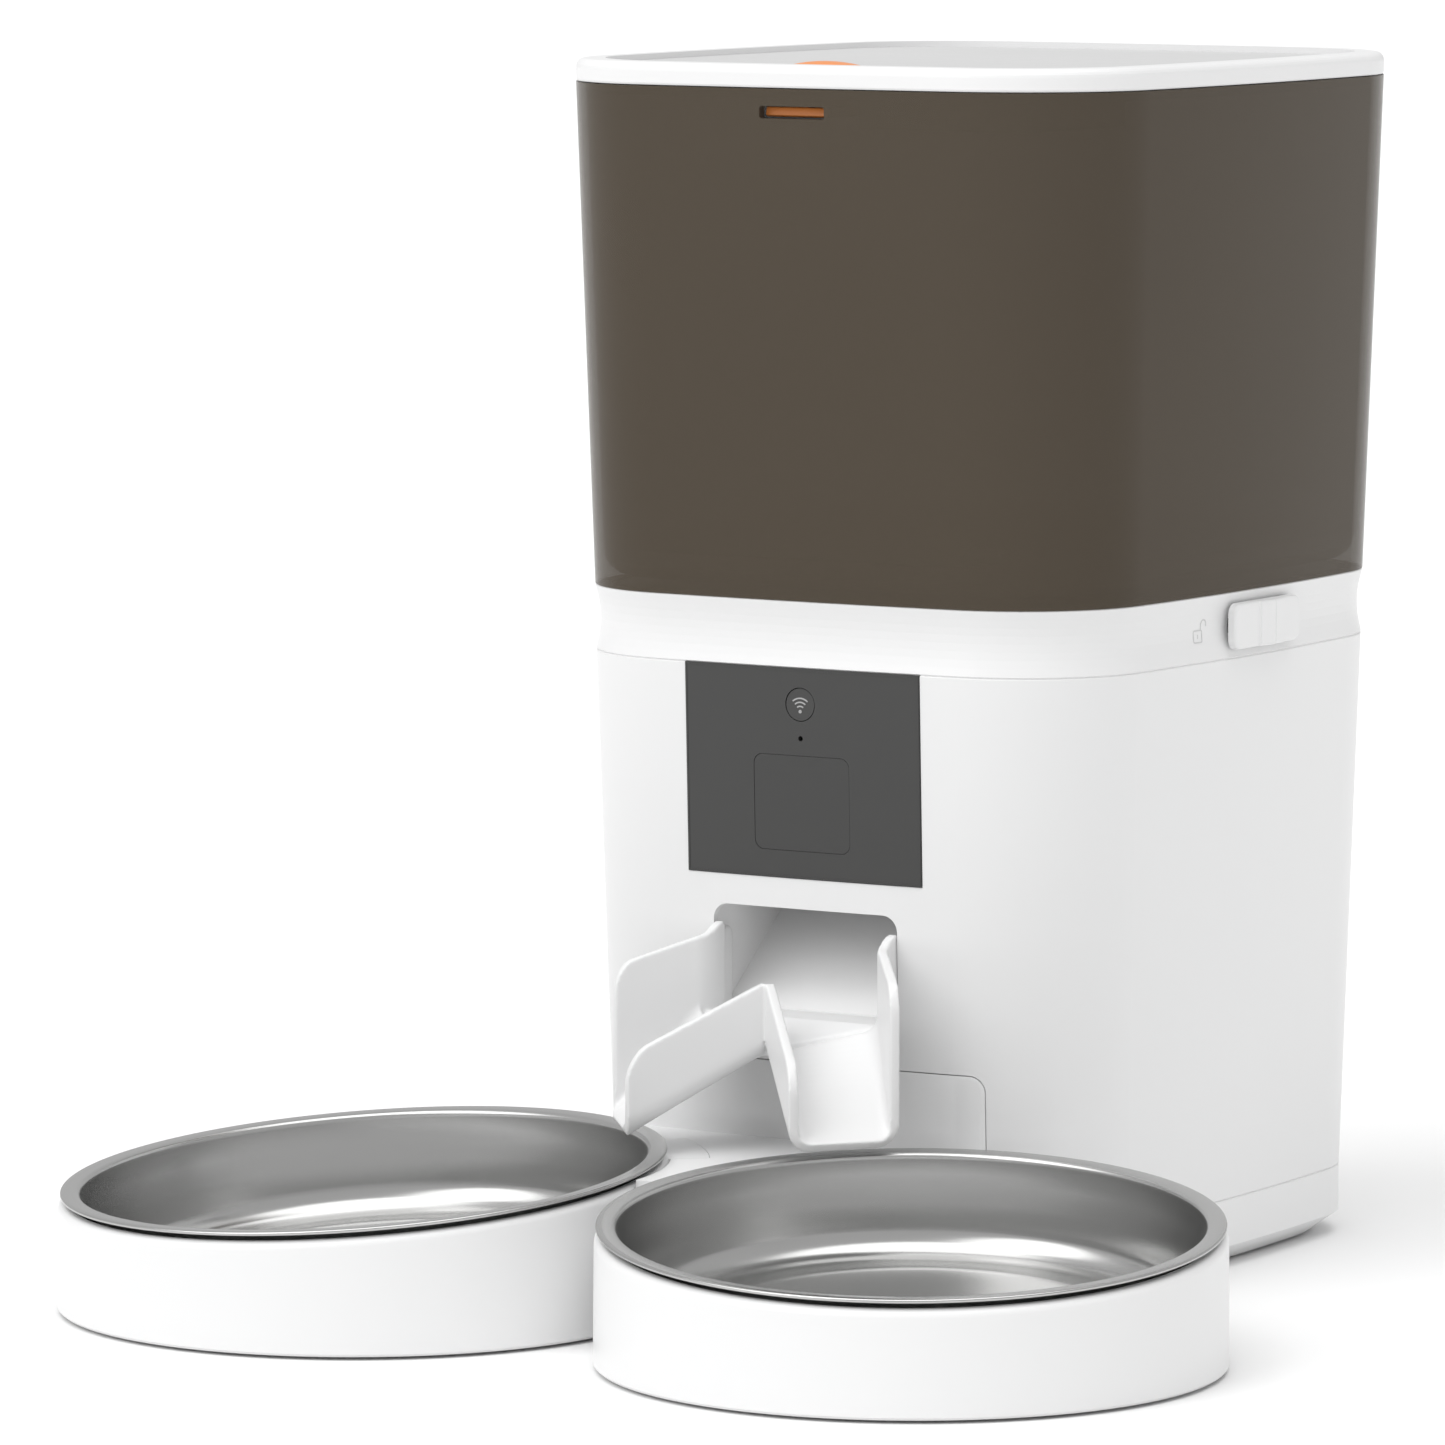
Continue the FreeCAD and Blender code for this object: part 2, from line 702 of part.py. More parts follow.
def make_motor_pinion():
    wheel = gear(pinion_teeth, gear_z, gear_z + gear_thick, 0.0, 180.0 / pinion_teeth)
    stub = cylinder(0, 0, plate_z - 12.0, gear_z, stub_radius)
    pinion = fuse([wheel, stub])
    pinion.translate(V(0, shaft_spacing, 0))
    return pinion


def post_places():
    return [(sx * 27.0, y) for sx in (-1, 1) for y in (-16.0, 42.0)]


def make_motor_plate():
    plate = box(-32, 32, -21, 48, plate_z, plate_z + plate_thick)
    posts = [cylinder(x, y, plate_z, chamber_foot, 3.0) for x, y in post_places()]
    plate = fuse([plate] + posts)
    plate = plate.cut(cylinder(0, 0, plate_z - 1, plate_z + 5, shaft_radius + running_gap))
    return plate.cut(cylinder(0, shaft_spacing, plate_z - 1, plate_z + 5, 3.2))


def make_gearbox_case():
    case = cylinder(0, shaft_spacing, plate_z - gearbox_length, plate_z, gearbox_radius)
    return case.cut(cylinder(0, shaft_spacing, plate_z - 14.0, plate_z + 1, stub_radius + running_gap))


def make_motor_can():
    top = plate_z - gearbox_length
    can = cylinder(0, shaft_spacing, top - 30.0, top, motor_radius)
    flats = motor_radius - 2
    return can.common(box(-flats, flats, 0, 60, top - 31, top + 1))


def make_motor_screws():
    screws = []
    for x in (-10.0, 10.0):
        y = shaft_spacing
        screws.append(cylinder(x, y, plate_z + plate_thick, plate_z + plate_thick + 1.6, 2.6))
    return Part.makeCompound(screws)


# ---------------------------------------------------------------- outlet duct
duct_half = outlet_half_width + slip_gap
duct_head = outlet_floor + outlet_height + 0.5
plug_back = face - chute_plug_depth - 1.0


def duct_profile(grow):
    """Side view of the duct's bore, moved out by grow."""
    head = duct_head + grow
    foot = outlet_floor - grow
    floor = outlet_floor + chute_wall + 0.4 - grow
    return [(-drop_near + grow, chamber_foot), (-drop_far - grow, chamber_foot), (-84.0 - grow * 0.4, head),
            (-150, head), (-150, foot), (-plug_back + grow * 0.6, foot), (-plug_back + grow * 0.6, floor),
            (-drop_near + grow, chamber_foot - 7.0 - grow)]


def make_outlet_duct():
    outer = prism_x(duct_profile(duct_wall), -duct_half - duct_wall, duct_half + duct_wall)
    bore = prism_x(duct_profile(0.0), -duct_half, duct_half)
    room = body_solid(base_height, seam_z, wall)
    return outer.cut(bore).common(room)


def make_food_sensors():
    pods = []
    for side in (-1, 1):
        x = side * (duct_half + duct_wall)
        pods.append(box(min(x, x + side * 6), max(x, x + side * 6), -78, -68, 100, 108))
    return Part.makeCompound(pods)


# ---------------------------------------------------------------- panel and electronics
button_z = seam_z - button_below_seam
switch_height = 3.2
window_z = panel_z + window_above_panel_foot


def panel_skin(outer_inset, inner_inset):
    outer = body_solid(base_height, seam_z + 2, outer_inset)
    return outer.cut(body_solid(base_height, seam_z + 2, inner_inset))


def window_block(gap):
    half = window_half_width + gap
    return rounded(box(-half, half, -200, 0, window_z - gap, window_z + window_height + gap), 3.0, V(0, 1, 0))


def make_control_panel():
    block = box(-panel_half_width, panel_half_width, -200, 0, panel_z, seam_z)
    panel = panel_skin(-0.25, panel_thick).common(block)
    panel = panel.cut(panel_skin(-1.0, window_thick - 0.25).common(window_block(0.12)))
    panel = panel.cut(rod_y(0, button_z, -200, 0, button_radius + 0.25))
    return panel.cut(rod_y(0, seam_z - mic_below_seam, -200, 0, mic_radius))


def make_panel_window():
    return panel_skin(-0.15, window_thick - 0.25).common(window_block(0.0))


def make_wifi_button():
    front = -(front_at(button_z) + 0.1)
    cap = rod_y(0, button_z, front, front + 3.6, button_radius)
    stem = rod_y(0, button_z, front + 3.6, board_y - switch_height - button_travel - 0.2, 1.5)
    return fuse([cap, stem])


def make_main_board():
    return box(-board_half, board_half, board_y, board_y + board_thick, board_foot, board_head)


def make_button_switch():
    return box(-3, 3, board_y - switch_height, board_y, button_z - 3, button_z + 3)


def make_radio_module():
    return box(-28, -12, board_y - 2.4, board_y, board_foot + 10, board_foot + 34)


def make_power_inlet():
    rear = front_at(inlet_z) - 0.3
    can = rounded(box(-4.5, 4.5, rear - 8.0, rear, inlet_z - 1.65, inlet_z + 1.65), 1.6, V(0, 1, 0))
    mouth = box(-4.2, 4.2, rear - 7.0, rear + 1, inlet_z - 1.35, inlet_z + 1.35)
    can = can.cut(rounded(mouth, 1.3, V(0, 1, 0)))
    blade = box(-3.3, 3.3, rear - 8.0, rear - 1.5, inlet_z - 0.35, inlet_z + 0.35)
    return fuse([can, blade])


def make_inlet_board():
    rear = front_at(inlet_z) - 0.3
    board = box(-12, 12, rear - 16.0, rear - wall, inlet_z - 1.65 - board_thick, inlet_z - 1.65)
    foot = box(-10, 10, rear - 16.0, rear - 8.0, tray_floor, inlet_z - 1.65 - board_thick)
    return fuse([board, foot])


def make_speaker():
    cone = cylinder(0, speaker_y, tray_floor, tray_floor + 4.0, speaker_radius)
    magnet = cylinder(0, speaker_y, tray_floor + 4.0, tray_floor + 9.0, speaker_radius / 2)
    return fuse([cone, magnet])


# ---------------------------------------------------------------- chute
def upright(start, end, profile, thick):
    """Wall panel on the line from start to end: profile holds (distance along it, height) corners."""
    run = V(end.x - start.x, end.y - start.y, 0)
    run.normalize()
    corners = [V(start.x + run.x * d, start.y + run.y * d, z) for d, z in profile]
    wire = Part.makePolygon(corners + corners[:1])
    return Part.Face(wire).extrude(across(start, end) * thick)


def across(start, end):
    """Level unit vector square to the run from start to end."""
    side = V(end.y - start.y, start.x - end.x, 0)
    side.normalize()
    return side


def slab(quad_a, quad_b):
    """Ruled solid between two upright rectangles, each given as two bottom corners."""
    wires = []
    for p, q in (quad_a, quad_b):
        up = V(0, 0, chute_wall - 0.4)
        wires.append(Part.makePolygon([p, q, q + up, p + up, p]))
    return loft(wires)


chute_half = outlet_half_width - slip_gap
apex_y = -(face + chute_apex_ahead)
bend_y = -(face + chute_bend_ahead)
plug_y = -(face - chute_plug_depth)
chute_floor_z = outlet_floor + 0.4
apex_z = chute_floor_z - 9.0
bend_z = chute_floor_z


def make_chute():
    inner_lip = V(inner_lip_x, -(face + inner_lip_ahead), chute_lip_height)
    outer_lip = V(outer_lip_x, -(face + outer_lip_ahead), chute_lip_height)
    apex = V(0, apex_y, apex_z)
    bend = V(chute_half + 1.3, bend_y, bend_z)
    plug = box(-chute_half, chute_half, bend_y - 0.5, plug_y, chute_floor_z, chute_floor_z + chute_wall)
    inner_side = across(apex, inner_lip) * (-chute_wall / 2.0)
    outer_side = across(bend, outer_lip) * (chute_wall / 2.0)
    floor_lift = V(0, 0, 0.4)
    slope = (chute_floor_z - apex_z) / (bend_y - apex_y)

    def on_near(x, y):
        return V(x, y, chute_floor_z - slope * (bend_y - y)) + floor_lift
    near_apex = on_near(apex.x + inner_side.x, apex.y + inner_side.y)
    near_bend = on_near(bend.x + outer_side.x, bend_y)
    left_apex = on_near(-near_apex.x, near_apex.y)
    left_bend = on_near(-near_bend.x, bend_y)
    near = Part.Face(Part.makePolygon([left_bend, near_bend, near_apex, left_apex, left_bend]))
    near = near.extrude(V(0, 0, chute_wall - 0.4))
    lip = (inner_lip + inner_side + floor_lift, outer_lip + outer_side + floor_lift)
    floor = slab((near_apex, near_bend), lip)
    top = outlet_floor + outlet_height - 5.5
    side = box(chute_half - chute_wall, chute_half, bend_y, -face, chute_floor_z, top)
    tab = box(chute_half - tab_thick, chute_half, -face - 1.0, plug_y, chute_floor_z, top)
    side = side.fuse(tab)
    bend_top = top - 3.7
    outer_run = math.hypot(outer_lip.x - bend.x, outer_lip.y - bend.y)
    inner_run = math.hypot(inner_lip.x - apex.x, inner_lip.y - apex.y)
    join = chute_wall * 0.7
    outer_wall = upright(bend, outer_lip, [(-join, bend.z), (0, bend.z), (outer_run, outer_lip.z),
                                           (outer_run, outer_lip.z + outer_wall_height),
                                           (outer_run - 6.0, outer_lip.z + outer_wall_height + 8.0),
                                           (-join, bend_top)], chute_wall)
    inner_wall = upright(apex, inner_lip, [(-join, apex.z), (0, apex.z), (inner_run, inner_lip.z),
                                           (inner_run, inner_lip.z + inner_wall_height - 6.0),
                                           (inner_run - 6.0, inner_lip.z + inner_wall_height + 1.5),
                                           (-join, apex.z + inner_wall_height)], -chute_wall)
    channel = [floor, side, outer_wall, inner_wall]
    return fuse([plug, near] + channel + [mirror_x(piece) for piece in channel])


# ---------------------------------------------------------------- stand
def rim_slope():
    heading = math.radians(bowl_tilt_heading)
    return V(-math.sin(heading), math.cos(heading), 0)


def tilt_right(shape):
    """Tilt a piece made about the right bowl's axis, so that its side near the body rises."""
    rise = rim_slope()
    axis = V(rise.y, -rise.x, 0)
    shape.rotate(V(bowl_spacing, bowl_y, bowl_rim_height), axis, bowl_tilt)
    return shape


def tongue_shape(gap, z0, z1):
    """Rounded tongue by which a holder joins the bridge, round the right bowl's axis."""
    disc = cylinder(bowl_spacing, bowl_y, z0, z1, holder_radius + tongue_reach + gap)
    strip = box(0, holder_radius + 40, -tongue_half_width - gap, tongue_half_width + gap, z0, z1)
    strip.rotate(V(0, 0, 0), V(0, 0, 1), 137.0)
    strip.translate(V(bowl_spacing, bowl_y, 0))
    return disc.common(strip)


def make_right_holder():
    z0 = foot_proud
    top = bowl_rim_height + 20.0
    taper = (holder_radius - holder_top_radius) / bowl_rim_height
    place = V(bowl_spacing, bowl_y, z0)
    body = Part.makeCone(holder_radius, holder_radius - taper * (top - z0), top - z0, place)
    body = fuse([body, tongue_shape(0.0, deck_height - 9.0, deck_height)])
    rim_z = bowl_rim_height
    over = cylinder(bowl_spacing, bowl_y, rim_z - bowl_rim_thick, rim_z + 80, holder_radius + 30)
    body = body.cut(tilt_right(over))
    well = cylinder(bowl_spacing, bowl_y, rim_z - 60, rim_z + 60, holder_top_radius - holder_ledge)
    well = tilt_right(well).common(cylinder(bowl_spacing, bowl_y, z0 + holder_floor, 200, holder_radius + 30))
    body = body.cut(well)
    for x, y in pad_places():
        body = body.cut(cylinder(x, y, 0, z0 + pad_inlay, pad_radius))
    return body


def pad_places():
    """Places of the pads under the right holder."""
    reach = 70.0
    angles = [math.radians(t) for t in (-90, 30, 150)]
    return [(bowl_spacing + reach * math.cos(t), bowl_y + reach * math.sin(t)) for t in angles]


def make_right_bowl():
    inner = bowl_rim_radius - bowl_rim_width
    foot = inner - 3.4
    bend = 9.0
    z1 = bowl_rim_height

    def section(grow, z_top):
        """Half outline of the bowl's body, grown outwards from its inner surface."""
        low = z1 - bowl_depth - grow
        start = V(inner + grow, 0, z_top)
        down = V(foot + grow, 0, low + bend)
        corner = V(foot + grow - bend * 0.293, 0, low + bend * 0.293)
        flat = V(foot + grow - bend, 0, low)
        edges = [Part.makeLine(start, down), Part.Arc(down, corner, flat).toShape(),
                 Part.makeLine(flat, V(0, 0, low)), Part.makeLine(V(0, 0, low), V(0, 0, z_top)),
                 Part.makeLine(V(0, 0, z_top), start)]
        return Part.Face(Part.Wire(edges)).revolve(V(0, 0, 0), V(0, 0, 1), 360)
    cup = section(bowl_sheet, z1 - 0.1).cut(section(0.0, z1 + 1.0))
    rim = ring(0, 0, z1 - bowl_rim_thick, z1, bowl_rim_radius, inner)
    bowl = fuse([cup, rim])
    bowl.translate(V(bowl_spacing, bowl_y, 0))
    return tilt_right(bowl)


def make_stand_bridge():
    inside = body_solid(-1.0, stand_block_height + 5.0)
    straight = straight_solid(base_half, foot_proud, base_height, 0)
    front_room = fuse([inside.common(box(-200, 200, -300, 300, base_height, 200)), straight])
    block = box(-stand_half_width, stand_half_width, -200, -(face - stand_depth), -40, stand_block_height)
    block = rounded(block, stand_radius, V(0, 1, 0)).common(front_room)
    deck = box(-stand_half_width, stand_half_width, bowl_y + 8.0, -(face - stand_depth / 2),
               foot_proud, deck_height)
    bridge = fuse([block, deck])
    hollow = box(-stand_half_width + 4, stand_half_width - 4, bowl_y + 40, -(face - stand_depth) - 3, -5,
                 deck_height - 3)
    keep = fuse([cylinder(x, bowl_y, -10, 100, holder_radius + 3.5) for x in (-bowl_spacing, bowl_spacing)])
    bridge = bridge.cut(hollow.cut(keep))
    for side in (False, True):
        cut = cylinder(bowl_spacing, bowl_y, -10, 100, holder_radius + 0.02)
        tongue = tongue_shape(0.25, deck_height - 9.02, deck_height + 20)
        bridge = bridge.cut(mirror_x(cut) if side else cut)
        bridge = bridge.cut(mirror_x(tongue) if side else tongue)
    return bridge


def make_stand_pads():
    pads = []
    for x, y in pad_places():
        for side in (-1, 1):
            pads.append(cylinder(side * x, y, 0, foot_proud + pad_inlay, pad_radius))
    return Part.makeCompound(pads)


right_holder = make_right_holder()
right_bowl = make_right_bowl()
nodes = {
    "body_shell": make_body_shell(),
    "base_tray": make_base_tray(),
    "battery_bay": make_battery_bay(),
    "battery_contacts": make_battery_contacts(),
    "battery_door": make_battery_door(),
    "rubber_feet": make_rubber_feet(),
    "housing_screws": make_housing_screws(),
    "stand_socket": make_stand_socket(),
    "collar": make_collar(),
    "lock_slider": make_lock_slider(),
    "lock_bolt": make_lock_bolt(),
    "hopper_tank": make_hopper_tank(),
    "tank_funnel": make_tank_funnel(),
    "hinge_pin": make_hinge_pin(),
    "lid_frame": make_lid_frame(),
    "lid_panel": make_lid_panel(),
    "lid_seal": make_lid_seal(),
    "desiccant_box": make_desiccant_box(),
    "lid_latch": make_lid_latch(),
    "rotor_chamber": make_rotor_chamber(),
    "rotor_bush": make_rotor_bush(),
    "chamber_seal": make_chamber_seal(),
    "rotor_shaft": make_rotor_shaft(),
    "paddle_wheel": make_paddle_wheel(),
    "stirrer": make_stirrer(),
    "drive_gear": make_drive_gear(),
    "motor_pinion": make_motor_pinion(),
    "motor_plate": make_motor_plate(),
    "gearbox_case": make_gearbox_case(),
    "motor_can": make_motor_can(),
    "motor_screws": make_motor_screws(),
    "outlet_duct": make_outlet_duct(),
    "food_sensors": make_food_sensors(),
    "control_panel": make_control_panel(),
    "panel_window": make_panel_window(),
    "wifi_button": make_wifi_button(),
    "main_board": make_main_board(),
    "button_switch": make_button_switch(),
    "radio_module": make_radio_module(),
    "power_inlet": make_power_inlet(),
    "inlet_board": make_inlet_board(),
    "speaker": make_speaker(),
    "chute_splitter": make_chute(),
    "stand_bridge": make_stand_bridge(),
    "right_holder": right_holder,
    "left_holder": mirror_x(right_holder),
    "right_bowl": right_bowl,
    "left_bowl": mirror_x(right_bowl),
    "stand_pads": make_stand_pads(),
}
for node_name, node_shape in nodes.items():
    put(node_name, node_shape)
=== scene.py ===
"""Looks of the automatic pet feeder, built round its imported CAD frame. Metres, +Z up, front to -Y."""
import json
import math

import bmesh
import bpy
from mathutils import Matrix, Vector
from mathutils.bvhtree import BVHTree


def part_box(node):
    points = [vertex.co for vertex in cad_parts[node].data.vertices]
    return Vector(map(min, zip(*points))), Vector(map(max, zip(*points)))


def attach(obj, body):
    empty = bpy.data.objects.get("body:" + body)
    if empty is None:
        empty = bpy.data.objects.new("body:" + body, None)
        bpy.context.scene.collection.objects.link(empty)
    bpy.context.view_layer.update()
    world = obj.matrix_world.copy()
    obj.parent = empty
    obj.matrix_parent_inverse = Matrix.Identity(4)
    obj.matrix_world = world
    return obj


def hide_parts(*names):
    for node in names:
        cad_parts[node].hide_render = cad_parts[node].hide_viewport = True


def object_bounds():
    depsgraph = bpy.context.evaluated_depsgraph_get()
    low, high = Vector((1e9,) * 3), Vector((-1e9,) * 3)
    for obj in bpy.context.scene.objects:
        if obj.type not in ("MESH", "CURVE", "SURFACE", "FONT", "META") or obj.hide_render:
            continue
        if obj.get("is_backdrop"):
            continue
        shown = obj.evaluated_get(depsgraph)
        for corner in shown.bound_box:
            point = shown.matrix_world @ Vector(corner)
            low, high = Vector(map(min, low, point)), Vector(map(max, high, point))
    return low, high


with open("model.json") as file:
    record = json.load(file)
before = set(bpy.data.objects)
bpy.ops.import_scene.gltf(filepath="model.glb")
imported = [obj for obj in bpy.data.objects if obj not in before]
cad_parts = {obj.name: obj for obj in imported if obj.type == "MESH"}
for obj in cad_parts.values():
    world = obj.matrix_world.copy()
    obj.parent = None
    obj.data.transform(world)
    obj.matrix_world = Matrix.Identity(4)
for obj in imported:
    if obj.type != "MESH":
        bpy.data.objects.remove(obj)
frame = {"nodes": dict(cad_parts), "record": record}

MM = 0.001
cad_low, cad_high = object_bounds()
nodes = frame["nodes"]


# ---------------------------------------------------------------- measures read from the frame, in mm
def box_mm(node):
    """Low and high corner of a CAD node's box."""
    low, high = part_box(node)
    return low / MM, high / MM


shell_low, shell_high = box_mm("body_shell")
tray_low = box_mm("base_tray")[0]
panel_low, panel_high = box_mm("control_panel")
shaft_low, shaft_high = box_mm("rotor_shaft")
button_low, button_high = box_mm("wifi_button")
lid_high = box_mm("lid_panel")[1]
latch_low, latch_high = box_mm("lid_latch")
AXIS_Y = (shaft_low.y + shaft_high.y) / 2
SEAM_Z = shell_high.z
BASE_Z = 21.6                # top of the base tray
OUTLET_FLOOR, OUTLET_HEIGHT = 80.6, 35.1


def depth_at(z):
    """Distance from the body's axis to its front face at height z."""
    base, seam = AXIS_Y - tray_low.y, AXIS_Y - shell_low.y
    return base + (seam - base) * (z - BASE_Z) / (SEAM_Z - BASE_Z)


FACE = depth_at(OUTLET_FLOOR + OUTLET_HEIGHT / 2)


# ---------------------------------------------------------------- material helpers
class Mat:
    """A node material with a Principled shader and a few helpers for its texture nodes."""

    def __init__(self, name, color, roughness, metallic=0.0, **sockets):
        self.mat = bpy.data.materials.new(name)
        self.mat.use_nodes = True
        self.tree = self.mat.node_tree
        self.bsdf = self.tree.nodes["Principled BSDF"]
        self.bsdf.inputs["Base Color"].default_value = (*color, 1.0)
        self.bsdf.inputs["Roughness"].default_value = roughness
        self.bsdf.inputs["Metallic"].default_value = metallic
        for key, value in sockets.items():
            self.bsdf.inputs[key.replace("_", " ")].default_value = value
        self.coords = self.tree.nodes.new("ShaderNodeTexCoord")

    def node(self, kind, **values):
        made = self.tree.nodes.new(kind)
        for key, value in values.items():
            if key in made.inputs:
                made.inputs[key].default_value = value
            else:
                setattr(made, key, value)
        return made

    def link(self, a, out, b, inp):
        self.tree.links.new(a.outputs[out], b.inputs[inp])

    def noise(self, scale, detail=3.0, stretch=(1, 1, 1)):
        mapping = self.node("ShaderNodeMapping")
        mapping.inputs["Scale"].default_value = stretch
        self.link(self.coords, "Object", mapping, "Vector")
        made = self.node("ShaderNodeTexNoise", Scale=scale, Detail=detail)
        self.link(mapping, "Vector", made, "Vector")
        return made

    def vary_color(self, noise, low, high):
        ramp = self.node("ShaderNodeValToRGB")
        ramp.color_ramp.elements[0].color = (*low, 1.0)
        ramp.color_ramp.elements[1].color = (*high, 1.0)
        self.link(noise, "Fac", ramp, "Fac")
        self.link(ramp, "Color", self.bsdf, "Base Color")

    def vary_roughness(self, noise, low, high):
        spread = self.node("ShaderNodeMapRange")
        spread.inputs["To Min"].default_value = low
        spread.inputs["To Max"].default_value = high
        self.link(noise, "Fac", spread, "Value")
        self.link(spread, "Result", self.bsdf, "Roughness")

    def bump(self, noise, strength, distance):
        bump = self.node("ShaderNodeBump", Strength=strength, Distance=distance)
        self.link(noise, "Fac", bump, "Height")
        self.link(bump, "Normal", self.bsdf, "Normal")


def gloss_white():
    m = Mat("gloss_white", (0.8, 0.8, 0.8), 0.3, IOR=1.5)
    m.vary_color(m.noise(9.0, 2.0), (0.795, 0.797, 0.8), (0.815, 0.815, 0.814))
    m.vary_roughness(m.noise(30.0, 3.0), 0.28, 0.34)
    m.bump(m.noise(700.0, 2.0), 0.006, 0.0002)
    return m.mat


def satin_plastic(name, color, roughness=0.45, grain=2200.0, strength=0.12):
    m = Mat(name, color, roughness, IOR=1.48)
    dark = tuple(c * 0.94 for c in color)
    m.vary_color(m.noise(14.0, 3.0), dark, color)
    m.vary_roughness(m.noise(120.0, 4.0), roughness - 0.05, roughness + 0.06)
    m.bump(m.noise(grain, 2.0), strength, 0.0002)
    return m.mat


def smoked_clear(name, color, alpha, roughness):
    m = Mat(name, color, roughness, Alpha=alpha, Specular_IOR_Level=0.1)
    m.vary_color(m.noise(5.0, 2.0), tuple(c * 0.9 for c in color), color)
    m.vary_roughness(m.noise(12.0, 2.0), roughness - 0.02, roughness + 0.03)
    return m.mat


def turned_steel(name, color=(0.52, 0.52, 0.515), roughness=0.22):
    """Satin steel brushed in rings round the piece's own axis."""
    m = Mat(name, color, roughness, metallic=1.0, Anisotropic=0.6)
    flat = m.node("ShaderNodeVectorMath", operation="MULTIPLY")
    flat.inputs[1].default_value = (1, 1, 0)
    m.link(m.coords, "Object", flat, 0)
    radius = m.node("ShaderNodeVectorMath", operation="LENGTH")
    m.link(flat, "Vector", radius, 0)
    parts = m.node("ShaderNodeSeparateXYZ")
    m.link(m.coords, "Object", parts, 0)
    rings = m.node("ShaderNodeCombineXYZ")
    m.link(radius, "Value", rings, "X")
    m.link(parts, "Z", rings, "Z")
    lines = m.node("ShaderNodeTexNoise", Scale=2600.0, Detail=2.0)
    m.link(rings, "Vector", lines, "Vector")
    m.vary_roughness(lines, roughness - 0.02, roughness + 0.03)
    m.bump(lines, 0.012, 0.00005)
    m.vary_color(m.noise(22.0, 3.0), tuple(c * 0.94 for c in color), color)
    tangent = m.node("ShaderNodeTangent", direction_type="RADIAL", axis="Z")
    m.link(tangent, "Tangent", m.bsdf, "Tangent")
    return m.mat


def satin_steel(name, color=(0.66, 0.655, 0.65), roughness=0.3):
    m = Mat(name, color, roughness, metallic=1.0)
    lines = m.noise(520.0, 3.0, (1, 1, 0.06))
    m.vary_roughness(lines, roughness - 0.06, roughness + 0.08)
    m.vary_color(m.noise(30.0, 3.0), tuple(c * 0.93 for c in color), color)
    m.bump(lines, 0.03, 0.0001)
    return m.mat


def rubber(name, color):
    m = Mat(name, color, 0.75)
    m.vary_color(m.noise(90.0, 3.0), tuple(c * 0.8 for c in color), color)
    m.vary_roughness(m.noise(300.0, 3.0), 0.65, 0.85)
    m.bump(m.noise(1500.0, 2.0), 0.25, 0.0003)
    return m.mat


SLOTS = {
    "white_shell": gloss_white(),
    "smoke_tank": smoked_clear("smoke_tank", (0.096, 0.078, 0.058), 0.82, 0.2),
    "smoke_funnel": smoked_clear("smoke_funnel", (0.05, 0.04, 0.027), 0.8, 0.16),
    "pale_grey": satin_plastic("pale_grey", (0.6, 0.6, 0.6), 0.38),
    # duct_grey: painted light, its base colour raised above the white shell's so the shaded duct renders
    # lighter
    "duct_grey": satin_plastic("duct_grey", (0.91, 0.91, 0.91), 0.35, 1200.0, 0.03),
    "soft_mark": satin_plastic("soft_mark", (0.42, 0.42, 0.42), 0.5),
    "faint_mark": satin_plastic("faint_mark", (0.62, 0.62, 0.62), 0.5),
    "orange_latch": satin_plastic("orange_latch", (0.8, 0.26, 0.06), 0.34, 1800.0, 0.06),
    "dark_panel": satin_plastic("dark_panel", (0.047, 0.047, 0.046), 0.36, 2600.0, 0.04),
    "dark_window": satin_plastic("dark_window", (0.045, 0.045, 0.044), 0.32, 2600.0, 0.02),
    "dark_button": satin_plastic("dark_button", (0.049, 0.049, 0.048), 0.42, 2600.0, 0.06),
    "bowl_steel": turned_steel("bowl_steel"),
    "pin_steel": satin_steel("pin_steel", (0.55, 0.55, 0.55), 0.25),
    "black_rubber": rubber("black_rubber", (0.03, 0.03, 0.03)),
    "silicone": rubber("silicone", (0.6, 0.6, 0.58)),
    "inner_plastic": satin_plastic("inner_plastic", (0.7, 0.7, 0.7), 0.5),
    "door_white": satin_plastic("door_white", (0.82, 0.82, 0.82), 0.4),
    "nylon": satin_plastic("nylon", (0.8, 0.78, 0.7), 0.45),
    "paddle_plastic": satin_plastic("paddle_plastic", (0.5, 0.5, 0.49), 0.5),
    "motor_metal": satin_steel("motor_metal", (0.5, 0.5, 0.5), 0.35),
    "contact_metal": satin_steel("contact_metal", (0.75, 0.7, 0.58), 0.25),
    "board_green": satin_plastic("board_green", (0.02, 0.16, 0.06), 0.35, 900.0, 0.1),
    "chip_dark": satin_plastic("chip_dark", (0.02, 0.02, 0.02), 0.4),
}
for part in frame["record"]["subparts"]:
    mesh = nodes[part["node"]].data
    mesh.materials.clear()
    mesh.materials.append(SLOTS[part["material_slot"]])


# ---------------------------------------------------------------- mesh helpers, in mm
def piece(name, shells, slot, body, stands_for=(), smooth=32.0, place=None, finish=None):
    """New object from closed shells of (vertices, faces), riding on a body."""
    verts, faces = [], []
    for points, loops in shells:
        start = len(verts)
        verts += [Vector(p) * MM for p in points]
        faces += [tuple(start + i for i in loop) for loop in loops]
    data = bpy.data.meshes.new(name)
    data.from_pydata(verts, [], faces)
    work = bmesh.new()
    work.from_mesh(data)
    bmesh.ops.remove_doubles(work, verts=work.verts, dist=1e-7)
    bmesh.ops.recalc_face_normals(work, faces=work.faces)
    work.to_mesh(data)
    work.free()
    data.materials.append(SLOTS[finish or slot])
    data.shade_smooth()
    data.set_sharp_from_angle(angle=math.radians(smooth))
    obj = bpy.data.objects.new(name, data)
    bpy.context.scene.collection.objects.link(obj)
    if place is not None:
        obj.matrix_world = place
    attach(obj, body)
    if stands_for:
        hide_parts(*stands_for)
    return obj


